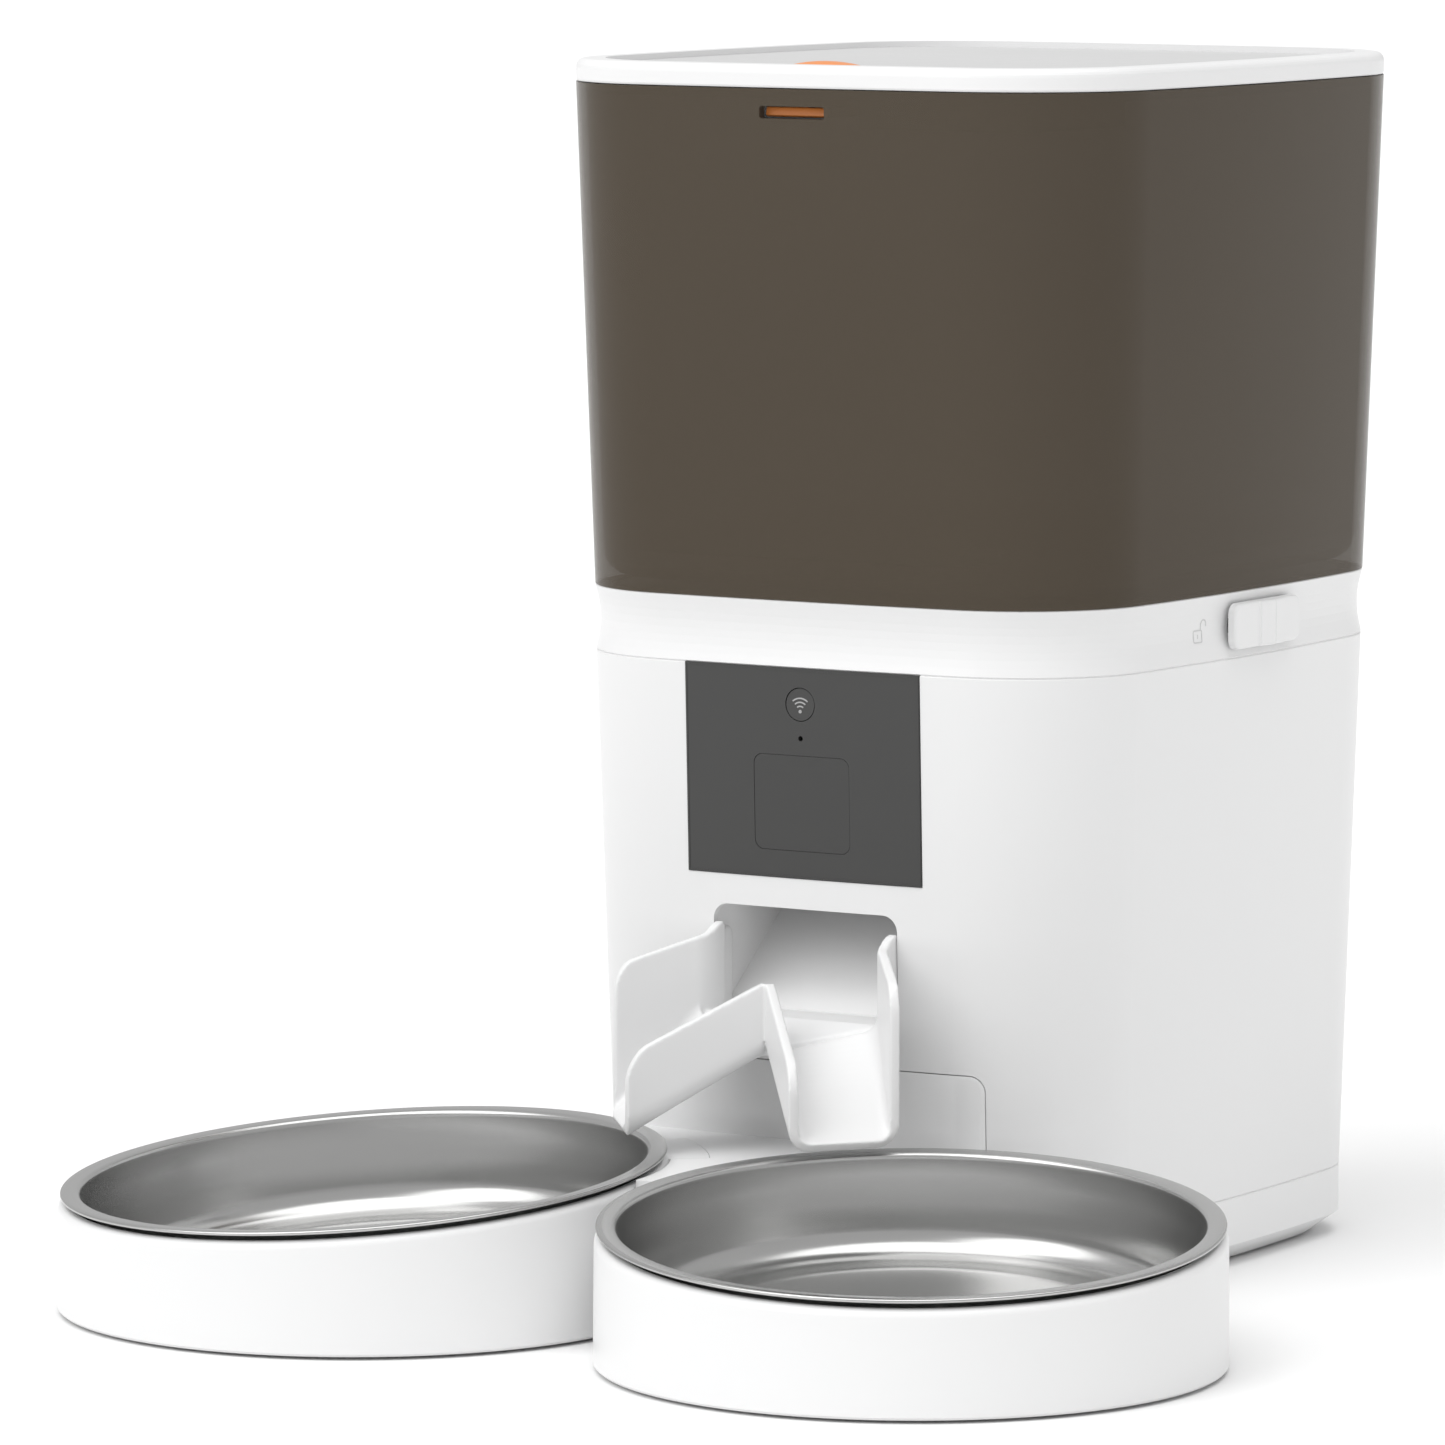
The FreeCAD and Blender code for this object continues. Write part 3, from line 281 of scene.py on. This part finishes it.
def round_corners(corners, steps=6):
    """Closed outline from (a, b, radius) corners, each rounded by an arc."""
    out = []
    count = len(corners)
    for i, (a, b, radius) in enumerate(corners):
        here = Vector((a, b))
        back = Vector(corners[i - 1][:2]) - here
        on = Vector(corners[(i + 1) % count][:2]) - here
        if radius <= 0:
            out.append((a, b))
            continue
        half = back.angle(on) / 2
        reach = min(radius / math.tan(half), 0.48 * back.length, 0.48 * on.length)
        radius = reach * math.tan(half)
        middle = here + (back.normalized() + on.normalized()).normalized() * radius / math.sin(half)
        first = here + back.normalized() * reach - middle
        last = here + on.normalized() * reach - middle
        sweep = first.angle_signed(last)
        for n in range(steps + 1):
            turn = -sweep * n / steps
            c, s = math.cos(turn), math.sin(turn)
            out.append((middle.x + first.x * c - first.y * s, middle.y + first.x * s + first.y * c))
    return out


def sheet_loops(columns, rows):
    """Faces of a sheet whose points are laid down column by column."""
    corners = [n * rows + k for n in range(columns - 1) for k in range(rows - 1)]
    return [(a, a + 1, a + rows + 1, a + rows) for a in corners]


def prism(outline, place, thick):
    """Closed shell between an outline and its copy; place(a, b, depth) gives the points."""
    count = len(outline)
    points = [place(a, b, 0.0) for a, b in outline] + [place(a, b, thick) for a, b in outline]
    loops = [tuple(range(count)), tuple(range(2 * count - 1, count - 1, -1))]
    loops += [(i, (i + 1) % count, count + (i + 1) % count, count + i) for i in range(count)]
    return points, loops


def lathe(profile, steps=192, lift=None):
    """Closed shell of (radius, height) points turned round Z; lift(n, x, y) moves a point's height."""
    points, rows = [], []
    for n, (radius, height) in enumerate(profile):
        row = []
        for k in range(1 if radius < 1e-6 else steps):
            turn = 2 * math.pi * k / steps
            x, y = radius * math.cos(turn), radius * math.sin(turn)
            row.append(len(points))
            points.append((x, y, height if lift is None else height + lift(n, x, y)))
        rows.append(row)
    loops = []
    for low, high in zip(rows, rows[1:]):
        for k in range(steps):
            a, b = low[k % len(low)], low[(k + 1) % len(low)]
            c, d = high[(k + 1) % len(high)], high[k % len(high)]
            loop = []
            for v in (a, b, c, d):
                if v not in loop:
                    loop.append(v)
            if len(loop) > 2:
                loops.append(tuple(loop))
    return points, loops


def bend(cx, cz, radius, start, end, steps=6):
    """Points of an arc in a profile, angles in degrees."""
    turns = [math.radians(start + (end - start) * n / steps) for n in range(steps + 1)]
    return [(cx + radius * math.cos(t), cz + radius * math.sin(t)) for t in turns]


def strip(path, width, place, low, high, closed=False):
    """Raised line along a drawn path; place(a, b, height) gives the points."""
    count = len(path)
    points, loops = [], []
    for i, (a, b) in enumerate(path):
        p = path[i - 1] if (i or closed) else path[i]
        q = path[(i + 1) % count] if (i < count - 1 or closed) else path[i]
        run = Vector((q[0] - p[0], q[1] - p[1])).normalized() * width / 2
        for side, height in ((1, low), (0.8, high), (-0.8, high), (-1, low)):
            points.append(place(a - run.y * side, b + run.x * side, height))
    for i in range(count if closed else count - 1):
        j = (i + 1) % count
        loops += [(4 * i + k, 4 * i + (k + 1) % 4, 4 * j + (k + 1) % 4, 4 * j + k) for k in range(4)]
    if not closed:
        loops += [(0, 1, 2, 3), tuple(4 * count - 1 - k for k in range(4))]
    return points, loops


def on_face(node, direction):
    """Placer that drops drawn points onto a node's surface, seen along a direction."""
    data = nodes[node].data
    tree = BVHTree.FromPolygons([v.co for v in data.vertices], [p.vertices for p in data.polygons])
    look = Vector(direction)

    def place(start, height):
        hit = tree.ray_cast((Vector(start) - look * 200.0) * MM, look)[0]
        return hit / MM - look * height
    return place


def fused(obj, voxel, rounds):
    """Weld overlapping shells into one moulded skin with eased edges."""
    remesh = obj.modifiers.new("fuse", "REMESH")
    remesh.mode = "VOXEL"
    remesh.voxel_size = voxel * MM
    ease = obj.modifiers.new("ease", "SMOOTH")
    ease.factor = 0.5
    ease.iterations = rounds
    thin = obj.modifiers.new("thin", "DECIMATE")
    thin.ratio = 0.5
    graph = bpy.context.evaluated_depsgraph_get()
    made = bpy.data.meshes.new_from_object(obj.evaluated_get(graph))
    obj.modifiers.clear()
    obj.data = made
    made.shade_smooth()


def soften(node, width, segments=3, angle=40.0):
    """Ease the sharp edges of a CAD piece without touching its mesh."""
    weld = nodes[node].modifiers.new("weld", "WELD")
    weld.merge_threshold = 0.002 * MM
    edge = nodes[node].modifiers.new("edge", "BEVEL")
    edge.width = width * MM
    edge.segments = segments
    edge.limit_method = "ANGLE"
    edge.angle_limit = math.radians(angle)
    edge.harden_normals = True
    edge.use_clamp_overlap = True


# ---------------------------------------------------------------- bowls
RIM_TILT = math.radians(4.7)
RIM_HEADING = math.radians(27.0)
RIM_RADIUS, RIM_WIDTH, RIM_THICK = 90.7, 6.0, 1.2
BOWL_DEPTH, BOWL_SHEET = 30.0, 0.8
right_low, right_high = box_mm("right_bowl")
BOWL_X = (right_low.x + right_high.x) / 2
BOWL_Y = (right_low.y + right_high.y) / 2
RIM_Z = right_high.z - RIM_RADIUS * math.sin(RIM_TILT)


def bowl_profile(grow):
    """Half section from the middle of the floor up to the rim, grown outwards by a thickness."""
    wall = RIM_RADIUS - RIM_WIDTH
    foot = wall - 3.4
    corner = 9.0
    low = -BOWL_DEPTH
    floor = [(0, low + 1.6), (30, low + 1.55), (56, low + 1.3), (60, low + 1.1),
             (63, low + 0.6), (66, low + 0.1), (69, low)]
    points = [(r, z - grow) for r, z in floor]
    points += bend(foot - corner, low + corner, corner + grow, -90, 0, 8)
    return points + [(foot + grow + (wall - foot) * t, low + corner + 18.8 * t) for t in (0.33, 0.66, 1.0)]


def make_bowl(name, node, body, side):
    """Spun steel bowl with a rolled flat rim, tilted as it lies in its holder."""
    wall = RIM_RADIUS - RIM_WIDTH
    roll = RIM_THICK / 2
    inner = bowl_profile(0.0)
    lip = bend(wall + 1.5, -1.7, 1.5, 172, 100, 5)
    top = [(wall + 2.0, -0.14), (wall + 4.0, 0.0)]
    edge = bend(RIM_RADIUS - roll, -roll, roll, 80, -90, 8)
    under = [(wall + 2.2, -RIM_THICK), (wall + 1.2, -RIM_THICK - 0.9)]
    outer = bowl_profile(BOWL_SHEET)[::-1]
    profile = inner + lip + top + edge + under + outer
    heading = RIM_HEADING * side
    axis = Vector((math.cos(heading), math.sin(heading), 0))
    middle = Vector((BOWL_X * side, BOWL_Y, RIM_Z)) * MM
    place = Matrix.Translation(middle) @ Matrix.Rotation(RIM_TILT, 4, axis)
    return piece(name, [lathe(profile)], "bowl_steel", body, (node,), 40.0, place)


make_bowl("right_bowl_turned", "right_bowl", "right_dish", 1)
make_bowl("left_bowl_turned", "left_bowl", "left_dish", -1)

# ---------------------------------------------------------------- bowl holders
HOLDER_FOOT, HOLDER_TOP = 91.5, 91.2
HOLDER_LEDGE, HOLDER_FLOOR, STAND_FOOT = 4.0, 2.5, 1.0
DECK_Z = 45.0
TONGUE_REACH, TONGUE_HALF, TONGUE_THICK = 11.5, 19.0, 9.0
TONGUE_TURN = math.radians(137.0)
RIM_SHADOW = 1.7             # dark gap between the bowl's rim and the holder
TOP_EASE, FOOT_EASE = 2.4, 0.8


def make_holder(name, node, side):
    """Round cup whose rim follows the tilted bowl, with the tongue that locks into the deck."""
    slope = Vector((-math.sin(RIM_HEADING) * side, math.cos(RIM_HEADING))) * math.tan(RIM_TILT)
    well = HOLDER_TOP - HOLDER_LEDGE
    profile = [(0, STAND_FOOT), (60, STAND_FOOT), (HOLDER_FOOT - FOOT_EASE, STAND_FOOT),
               (HOLDER_FOOT, STAND_FOOT + FOOT_EASE)]
    fixed = len(profile)
    profile += bend(HOLDER_TOP - TOP_EASE, -TOP_EASE, TOP_EASE, 0, 90, 8)
    profile += bend(well + 0.6, -0.6, 0.6, 90, 180, 4)
    profile += [(well, -6.0)]
    free = len(profile)
    floor_z = STAND_FOOT + HOLDER_FLOOR
    profile += bend(well - 4.0, floor_z + 4.0, 4.0, 0, -90, 5) + [(40, floor_z), (0, floor_z)]

    def lift(n, x, y):
        if not fixed <= n < free:
            return 0.0
        return RIM_Z - RIM_THICK - RIM_SHADOW + slope.x * x + slope.y * y

    cup = lathe(profile, 192, lift)
    points = [(x + BOWL_X * side, y + BOWL_Y, z) for x, y, z in cup[0]]
    tip = HOLDER_FOOT + TONGUE_REACH
    root = HOLDER_FOOT - 3.0
    arc_half = math.asin(TONGUE_HALF / tip)
    turns = [arc_half * (n / 12.0 - 1) for n in range(25)]
    outline = [(tip * math.cos(t), tip * math.sin(t)) for t in turns]
    outline += [(root, TONGUE_HALF), (root, -TONGUE_HALF)]
    c, s = math.cos(TONGUE_TURN), math.sin(TONGUE_TURN)

    def put(a, b, drop):
        return ((BOWL_X + a * c - b * s) * side, BOWL_Y + a * s + b * c, DECK_Z - drop)
    shells = [(points, cup[1]), prism(outline, put, TONGUE_THICK)]
    return piece(name, shells, "white_shell", "stand", (node,))


make_holder("right_holder_moulded", "right_holder", 1)
make_holder("left_holder_moulded", "left_holder", -1)

# ---------------------------------------------------------------- chute that splits the food
CHUTE_WALL, CHUTE_HALF = 3.0, 32.0
CHUTE_FLOOR = OUTLET_FLOOR + 0.4
APEX_AHEAD, APEX_DROP, BEND_AHEAD = 24.8, 9.0, 9.5
LIP_Z = 50.6
OUTER_LIP, INNER_LIP = (50.5, 30.8), (28.2, 57.1)
INNER_HIGH, OUTER_HIGH = 24.0, 40.0
SIDE_TOP = OUTLET_FLOOR + OUTLET_HEIGHT - 5.5
SIDE_FALL = 3.7              # how far the side wall's top drops round the bend
OUTER_START = CHUTE_HALF + 1.3
CHANNEL_CORNER = 5.0
INNER_END_ROUND, OUTER_END_ROUND = 8.0, 9.0


def ahead(x, reach, z):
    """Point at a reach in front of the body's face."""
    return Vector((x, AXIS_Y - FACE - reach, z))


def level(run):
    """Level unit vector square to a run."""
    return Vector((run.y, -run.x, 0)).normalized()


def outer_line():
    """Foot of a branch's outer wall, from the bend to the lip."""
    return ahead(OUTER_START, BEND_AHEAD, CHUTE_FLOOR), ahead(*OUTER_LIP, LIP_Z)


def rounded_end(t, length, radius):
    """How far a top edge has come down at a share t of its length, with a quarter round at the end."""
    left = length * (1 - t)
    if left >= radius:
        return 0.0
    return radius - math.sqrt(max(0.0, radius * radius - (radius - left) ** 2))


def make_channel(side):
    """One branch: a trough of round-cornered U sections from the apex line to the lip."""
    half = CHUTE_WALL / 2
    inner_0, inner_1 = ahead(0, APEX_AHEAD, CHUTE_FLOOR - APEX_DROP), ahead(*INNER_LIP, LIP_Z)
    outer_0, outer_1 = outer_line()
    inner_shift = level(inner_1 - inner_0) * -half
    outer_shift = level(outer_1 - outer_0) * half
    corner = CHANNEL_CORNER
    stations = 28
    points = []
    for n in range(stations + 1):
        t = math.sin(math.pi / 2 * n / stations)
        low_in = inner_0.lerp(inner_1, t) + inner_shift
        low_out = outer_0.lerp(outer_1, t) + outer_shift
        low_in.z += half
        low_out.z += half
        inner_drop = rounded_end(t, (inner_1 - inner_0).length, INNER_END_ROUND)
        outer_drop = rounded_end(t, (outer_1 - outer_0).length, OUTER_END_ROUND)
        top_in = inner_0.z + INNER_HIGH - (inner_0.z - inner_1.z - 1.0) * t - inner_drop
        top_out = SIDE_TOP - SIDE_FALL - (SIDE_TOP - SIDE_FALL - LIP_Z - OUTER_HIGH - 8.0) * t - outer_drop
        span = low_out - low_in
        width = span.length
        unit = span.normalized()
        section = [(0.0, top_in - low_in.z)]
        section += [(0.0, corner + (top_in - low_in.z - corner) * k / 4.0) for k in (3, 2, 1)]
        section += bend(corner, corner, corner, 180, 270, 6) + [(width / 2, 0.0)]
        section += bend(width - corner, corner, corner, 270, 360, 6)
        section += [(width, corner + (top_out - low_out.z - corner) * k / 4.0) for k in (1, 2, 3, 4)]
        rows = len(section)
        for along, up in section:
            base = low_in + unit * along
            points.append((base.x * side, base.y, base.z + up))
    return points, sheet_loops(stations + 1, rows)


def make_cheek(side):
    """Side wall from the body's face round the bend into the branch's outer wall, as a sheet."""
    half = CHUTE_WALL / 2
    outer_0, outer_1 = outer_line()
    shift = level(outer_1 - outer_0) * half
    meet = [outer_0.lerp(outer_1, t) + shift for t in (0.1, 0.2, 0.3)]
    plan = [ahead(CHUTE_HALF - half, a, CHUTE_FLOOR) for a in (0.3, 1.6, 3.0, 4.6)]
    knee = ahead(CHUTE_HALF - half + 0.2, BEND_AHEAD, CHUTE_FLOOR)
    start = plan[-1]
    for n in range(1, 9):
        t = n / 8.0
        plan.append(start * (1 - t) ** 2 + knee * (2 * t * (1 - t)) + meet[0] * t * t)
    plan += meet[1:]
    span = [0.0]
    for a, b in zip(plan, plan[1:]):
        span.append(span[-1] + math.hypot(b.x - a.x, b.y - a.y))
    points = []
    rows = 6
    bend_span = span[3] + 5.5
    for p, d in zip(plan, span):
        share = min(1.0, max(0.0, (d - 0.8) / bend_span))
        fall = SIDE_FALL * share * share * (3 - 2 * share)
        top = SIDE_TOP - fall - max(0.0, d - bend_span) * 0.29 - 1.4 * max(0.0, 1 - d / 1.3) ** 2
        low = min(p.z, CHUTE_FLOOR) + half
        for k in range(rows):
            points.append((p.x * side, p.y, low + (top - low) * k / (rows - 1)))
    return points, sheet_loops(len(plan), rows)


def thick_shell(sheet, thick):
    """Closed shell round a sheet, by solidifying it both ways."""
    data = bpy.data.meshes.new("sheet")
    data.from_pydata([Vector(p) for p in sheet[0]], [], sheet[1])
    obj = bpy.data.objects.new("sheet", data)
    bpy.context.scene.collection.objects.link(obj)
    solid = obj.modifiers.new("solid", "SOLIDIFY")
    solid.thickness = thick
    solid.offset = 0.0
    solid.use_even_offset = True
    graph = bpy.context.evaluated_depsgraph_get()
    made = bpy.data.meshes.new_from_object(obj.evaluated_get(graph))
    shell = [tuple(v.co) for v in made.vertices], [tuple(p.vertices) for p in made.polygons]
    bpy.data.objects.remove(obj)
    return shell


def make_splitter():
    """Two-way chute: a floor, two side walls and two branches, moulded into one skin."""
    shells = []
    plug = -6.5              # the plug's end inside the outlet
    thick = CHUTE_WALL - 0.4
    for side in (1, -1):
        shells.append(thick_shell(make_channel(side), CHUTE_WALL))

        def side_place(a, b, depth, side=side):
            return ((CHUTE_HALF - depth) * side, AXIS_Y - FACE - a, b)
        shells.append(thick_shell(make_cheek(side), CHUTE_WALL))
        tab = round_corners([(plug, CHUTE_FLOOR, 0), (plug, SIDE_TOP - 2, 3), (1.5, SIDE_TOP - 2, 0),
                             (1.5, CHUTE_FLOOR, 0)])
        shells.append(prism(tab, side_place, 1.3))

    def floor_place(a, b, depth):
        drop = max(0.0, b - BEND_AHEAD) * APEX_DROP / (APEX_AHEAD - BEND_AHEAD)
        return (a, AXIS_Y - FACE - b, CHUTE_FLOOR + depth - drop)
    back = [(-CHUTE_HALF, plug), (CHUTE_HALF, plug), (CHUTE_HALF, BEND_AHEAD), (-CHUTE_HALF, BEND_AHEAD)]
    shells.append(prism(back, floor_place, thick))
    fore = [(-CHUTE_HALF - 1.0, BEND_AHEAD - 0.3), (CHUTE_HALF + 1.0, BEND_AHEAD - 0.3),
            (1.8, APEX_AHEAD - 2.0), (-1.8, APEX_AHEAD - 2.0)]
    shells.append(prism(fore, floor_place, thick + 0.4))
    splitter = piece("chute_moulded", shells, "white_shell", "chute", ("chute_splitter",))
    fused(splitter, 0.55, 7)


make_splitter()


# ---------------------------------------------------------------- lid latch
def make_latch():
    """Domed oval button on the lid, its stem and the tongue that reaches the tank's slot."""
    top, panel_z = latch_high.z - 0.2, lid_high.z
    half_x, half_y = (latch_high.x - latch_low.x) / 2, 7.5
    centre_y = latch_high.y - half_y
    power = 0.75             # below 1 squares the oval a little
    rise = top - panel_z
    edge = 0.15              # upright edge above the lid panel
    levels = [(1.0, panel_z - 0.9), (1.0, panel_z + edge)]
    levels += [(r, panel_z + edge + (rise - edge) * (1 - r * r))
               for r in (0.97, 0.9, 0.8, 0.68, 0.54, 0.38, 0.2)]
    levels += [(0.0, top)]
    profile = [(0.0, panel_z - 0.9)] + levels

    def oval(points):
        out = []
        for x, y, z in points:
            r = math.hypot(x, y)
            if r < 1e-9:
                out.append((0, centre_y, z))
                continue
            c, s = x / r, y / r
            out.append((half_x * r * math.copysign(abs(c) ** power, c),
                        centre_y + half_y * r * math.copysign(abs(s) ** power, s), z))
        return out
    cap = lathe(profile, 96)
    tongue_half = 11.0
    front, low = latch_low.y, latch_low.z
    back = front + 17.0
    shelf = [(front, low + 0.5, 0.3), (front + 0.9, low, 0.3), (back, low, 0), (back, low + 3, 0),
             (front + 0.5, low + 3, 0.8)]

    def across(a, b, depth):
        return (depth - tongue_half, a, b)
    tongue = prism(round_corners(shelf), across, 2 * tongue_half)
    stem_y, stem_half = centre_y - 3.0, 1.5
    stem_box = [(stem_y - stem_half, low + 1), (stem_y + stem_half, low + 1),
                (stem_y + stem_half, panel_z), (stem_y - stem_half, panel_z)]

    def stem_place(a, b, depth):
        return (depth - 9.0, a, b)
    stem = prism(stem_box, stem_place, 18.0)
    shells = [(oval(cap[0]), cap[1]), tongue, stem]
    piece("latch_moulded", shells, "orange_latch", "latch", ("lid_latch",), 50.0)


make_latch()


# ---------------------------------------------------------------- marks on the button, panel and collar
MARK_SUNK, MARK_PROUD = -0.2, 0.12
WAVE_WIDTH, WAVE_PROUD = 0.5, 0.1
LOCK_LINE = 0.45
OPEN_MARK_Y, CLOSED_MARK_Y = -31.0, 28.2
EDGE_LINE, EDGE_INSET = 0.6, 0.45


def make_wireless_mark():
    """Three arcs over a dot, raised on the button's face."""
    middle = (button_low.z + button_high.z) / 2
    foot = middle - 2.1

    def place(a, b, height):
        return (a, button_low.y - height, b)
    arcs = [(bend(0, foot, radius, 50, 130, 14), False) for radius in (1.6, 2.8, 4.0)]
    dot = (bend(0, foot, 0.32, 0, 342, 19), True)
    shells = [strip(path, WAVE_WIDTH, place, MARK_SUNK, WAVE_PROUD, closed) for path, closed in arcs + [dot]]
    piece("wireless_mark", shells, "pale_grey", "button", finish="soft_mark")


def make_panel_edge():
    """Thin raised border round the dark panel."""
    drop = on_face("control_panel", (0, 1, 0))
    half = panel_high.x - EDGE_INSET
    low, high = panel_low.z + EDGE_INSET, panel_high.z - EDGE_INSET
    corners = [(-half, low), (half, low), (half, high), (-half, high)]
    path = []
    for (a0, b0), (a1, b1) in zip(corners, corners[1:] + corners[:1]):
        path += [(a0 + (a1 - a0) * n / 20.0, b0 + (b1 - b0) * n / 20.0) for n in range(20)]

    def place(a, b, height):
        return drop((a, AXIS_Y - FACE, b), height)
    border = strip(path, EDGE_LINE, place, MARK_SUNK, MARK_PROUD, True)
    piece("panel_edge", [border], "dark_window", "housing")


def make_lock_marks():
    """Open padlock ahead of the slider and closed padlock behind it."""
    drop = on_face("collar", (-1, 0, 0))
    shells = []
    mark_z = SEAM_Z + 9.2
    for y, opened in ((OPEN_MARK_Y, True), (CLOSED_MARK_Y, False)):
        def place(a, b, height, y=y):
            return drop((150.0, AXIS_Y + y + a, mark_z + b), height)
        body = round_corners([(-2.4, -3.0, 0.6), (2.4, -3.0, 0.6), (2.4, 0.6, 0.6), (-2.4, 0.6, 0.6)])
        shells.append(strip(body, LOCK_LINE, place, MARK_SUNK, MARK_PROUD, True))
        shift = 3.2 if opened else 0.0
        shackle = [(-1.5 + shift, 0.6)] + bend(shift, 2.2, 1.5, 180, 0, 10)
        shackle.append((1.5 + shift, 1.6 if opened else 0.6))
        keyhole = [(0, -1.8), (0, -0.6)]
        for path in (shackle, keyhole):
            shells.append(strip(path, LOCK_LINE, place, MARK_SUNK, MARK_PROUD))
    piece("lock_marks", shells, "duct_grey", "housing", finish="faint_mark")


make_wireless_mark()
make_panel_edge()
make_lock_marks()


# ---------------------------------------------------------------- lock slider and eased CAD edges
def ramp(low, high, value):
    """Smooth step from 0 at low to 1 at high."""
    t = min(1.0, max(0.0, (value - low) / (high - low)))
    return t * t * (3 - 2 * t)


def make_lock_knob():
    """Lock slider: rounded plate with a low two-step ridge for the thumb, and its stem."""
    low, high = box_mm("lock_slider")
    mid_y, mid_z = (low.y + high.y) / 2, (low.z + high.z) / 2
    half_y, half_z = (high.y - low.y) / 2 - 0.02, (high.z - low.z) / 2 - 0.02
    seat = high.x - 5.0      # collar's face under the plate
    plate, ease, corner = 2.7, 0.9, 3.4
    groove_half, groove_deep = 0.75, 0.65
    along = 150              # points along a straight edge, close enough to shape the ridge

    def crest(u):
        grooves = sum(groove_deep * max(0.0, 1 - ((u - c) / groove_half) ** 2) for c in (2.6, 9.0))
        front = 0.7 * ramp(-5.6, -4.9, u) + 0.9 * ramp(-4.9, 1.8, u)
        return front - 0.6 * ramp(1.9, 2.6, u) - ramp(8.9, 9.4, u) - grooves

    def ring(inset, squeeze, height):
        a, b, r = half_y - inset, half_z - inset, corner - inset
        plan = []
        for sign in (1, -1):
            for n in range(9):
                turn = math.radians(90.0 * n / 8)
                plan.append((sign * (a - r + r * math.cos(turn)), sign * (b - r + r * math.sin(turn))))
            plan += [(sign * (a - r - (a - r) * 2 * n / along), sign * b) for n in range(1, along)]
            for n in range(9):
                turn = math.radians(90.0 + 90.0 * n / 8)
                plan.append((sign * (-(a - r) + r * math.cos(turn)), sign * (b - r + r * math.sin(turn))))
            plan += [(-sign * a, sign * (b - r) * (1 - n / 4.0)) for n in range(1, 4)]
        return [(seat + height + (crest(u) if height > 1.0 else 0.0), mid_y + u, mid_z + w * squeeze)
                for u, w in plan]

    rings = [ring(0.0, 1.0, 0.1), ring(0.0, 1.0, plate - ease)]
    for n in range(1, 6):
        turn = math.radians(18.0 * n)
        rings.append(ring(ease * (1 - math.cos(turn)), 1.0, plate - ease + ease * math.sin(turn)))
    rings += [ring(ease, 1 - n / 6.0, plate) for n in range(1, 7)]
    count = len(rings[0])
    points = [v for row in rings for v in row]
    loops = [tuple(range(count))[::-1]]
    for k in range(len(rings) - 1):
        for n in range(count):
            m = (n + 1) % count
            loops.append((k * count + n, k * count + m, (k + 1) * count + m, (k + 1) * count + n))
    stem = round_corners([(-5, -2, 0.5), (5, -2, 0.5), (5, 2, 0.5), (-5, 2, 0.5)])

    def stem_place(a, b, depth):
        return (low.x + depth, mid_y + a, mid_z + b)
    shells = [(points, loops), prism(stem, stem_place, seat + 0.6 - low.x)]
    piece("lock_knob", shells, "white_shell", "lock", stands_for=("lock_slider",), smooth=28.0)


make_lock_knob()

for node, width in (("stand_bridge", 0.8), ("battery_door", 0.5)):
    soften(node, width)


# ---------------------------------------------------------------- camera, floor and light
def place_camera():
    """Long-lens view from the front right, a little above the lid."""
    azimuth = math.radians(30.35)
    reach, height = 2.8303, 0.4664
    yaw = azimuth + math.radians(1.627)
    pitch = math.radians(6.129)
    data = bpy.data.cameras.new("camera")
    data.sensor_width = 36.0
    data.lens = 228.9
    data.clip_end = 80.0
    camera = bpy.data.objects.new("camera", data)
    bpy.context.scene.collection.objects.link(camera)
    camera.location = (reach * math.sin(azimuth), AXIS_Y * MM - reach * math.cos(azimuth), height)
    look = Vector((-math.sin(yaw) * math.cos(pitch), math.cos(yaw) * math.cos(pitch), -math.sin(pitch)))
    camera.rotation_euler = look.to_track_quat("-Z", "Y").to_euler()
    bpy.context.scene.camera = camera


def sun(name, direction, power, spread):
    """Soft light that reaches the whole floor evenly."""
    data = bpy.data.lights.new(name, "SUN")
    data.energy = power
    data.angle = math.radians(spread)
    light = bpy.data.objects.new(name, data)
    bpy.context.scene.collection.objects.link(light)
    light.rotation_euler = Vector(direction).to_track_quat("-Z", "Y").to_euler()


def build_studio():
    mesh = bpy.data.meshes.new("floor")
    size = 40.0
    corners = [(-size, -size, 0), (size, -size, 0), (size, size, 0), (-size, size, 0)]
    mesh.from_pydata(corners, [], [(0, 1, 2, 3)])
    floor = bpy.data.objects.new("floor", mesh)
    bpy.context.scene.collection.objects.link(floor)
    m = Mat("floor_paper", (0.9, 0.9, 0.9), 0.9)
    m.bump(m.noise(40.0, 3.0), 0.02, 0.001)
    mesh.materials.append(m.mat)
    floor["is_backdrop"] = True
    world = bpy.data.worlds.new("studio")
    world.use_nodes = True
    world.node_tree.nodes["Background"].inputs["Color"].default_value = (1, 1, 1, 1)
    world.node_tree.nodes["Background"].inputs["Strength"].default_value = 0.64
    bpy.context.scene.world = world
    bpy.context.scene.view_settings.view_transform = "Standard"
    sun("key", (0.45, 0.9, -0.85), 1.05, 50.0)
    sun("top", (-0.1, 0.15, -1.0), 1.35, 60.0)


place_camera()
build_studio()


def corner_list(pair):
    return [[round(c, 6) for c in corner] for corner in pair]


visual_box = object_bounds()
{"cad": corner_list((cad_low, cad_high)), "visual": corner_list(visual_box)}
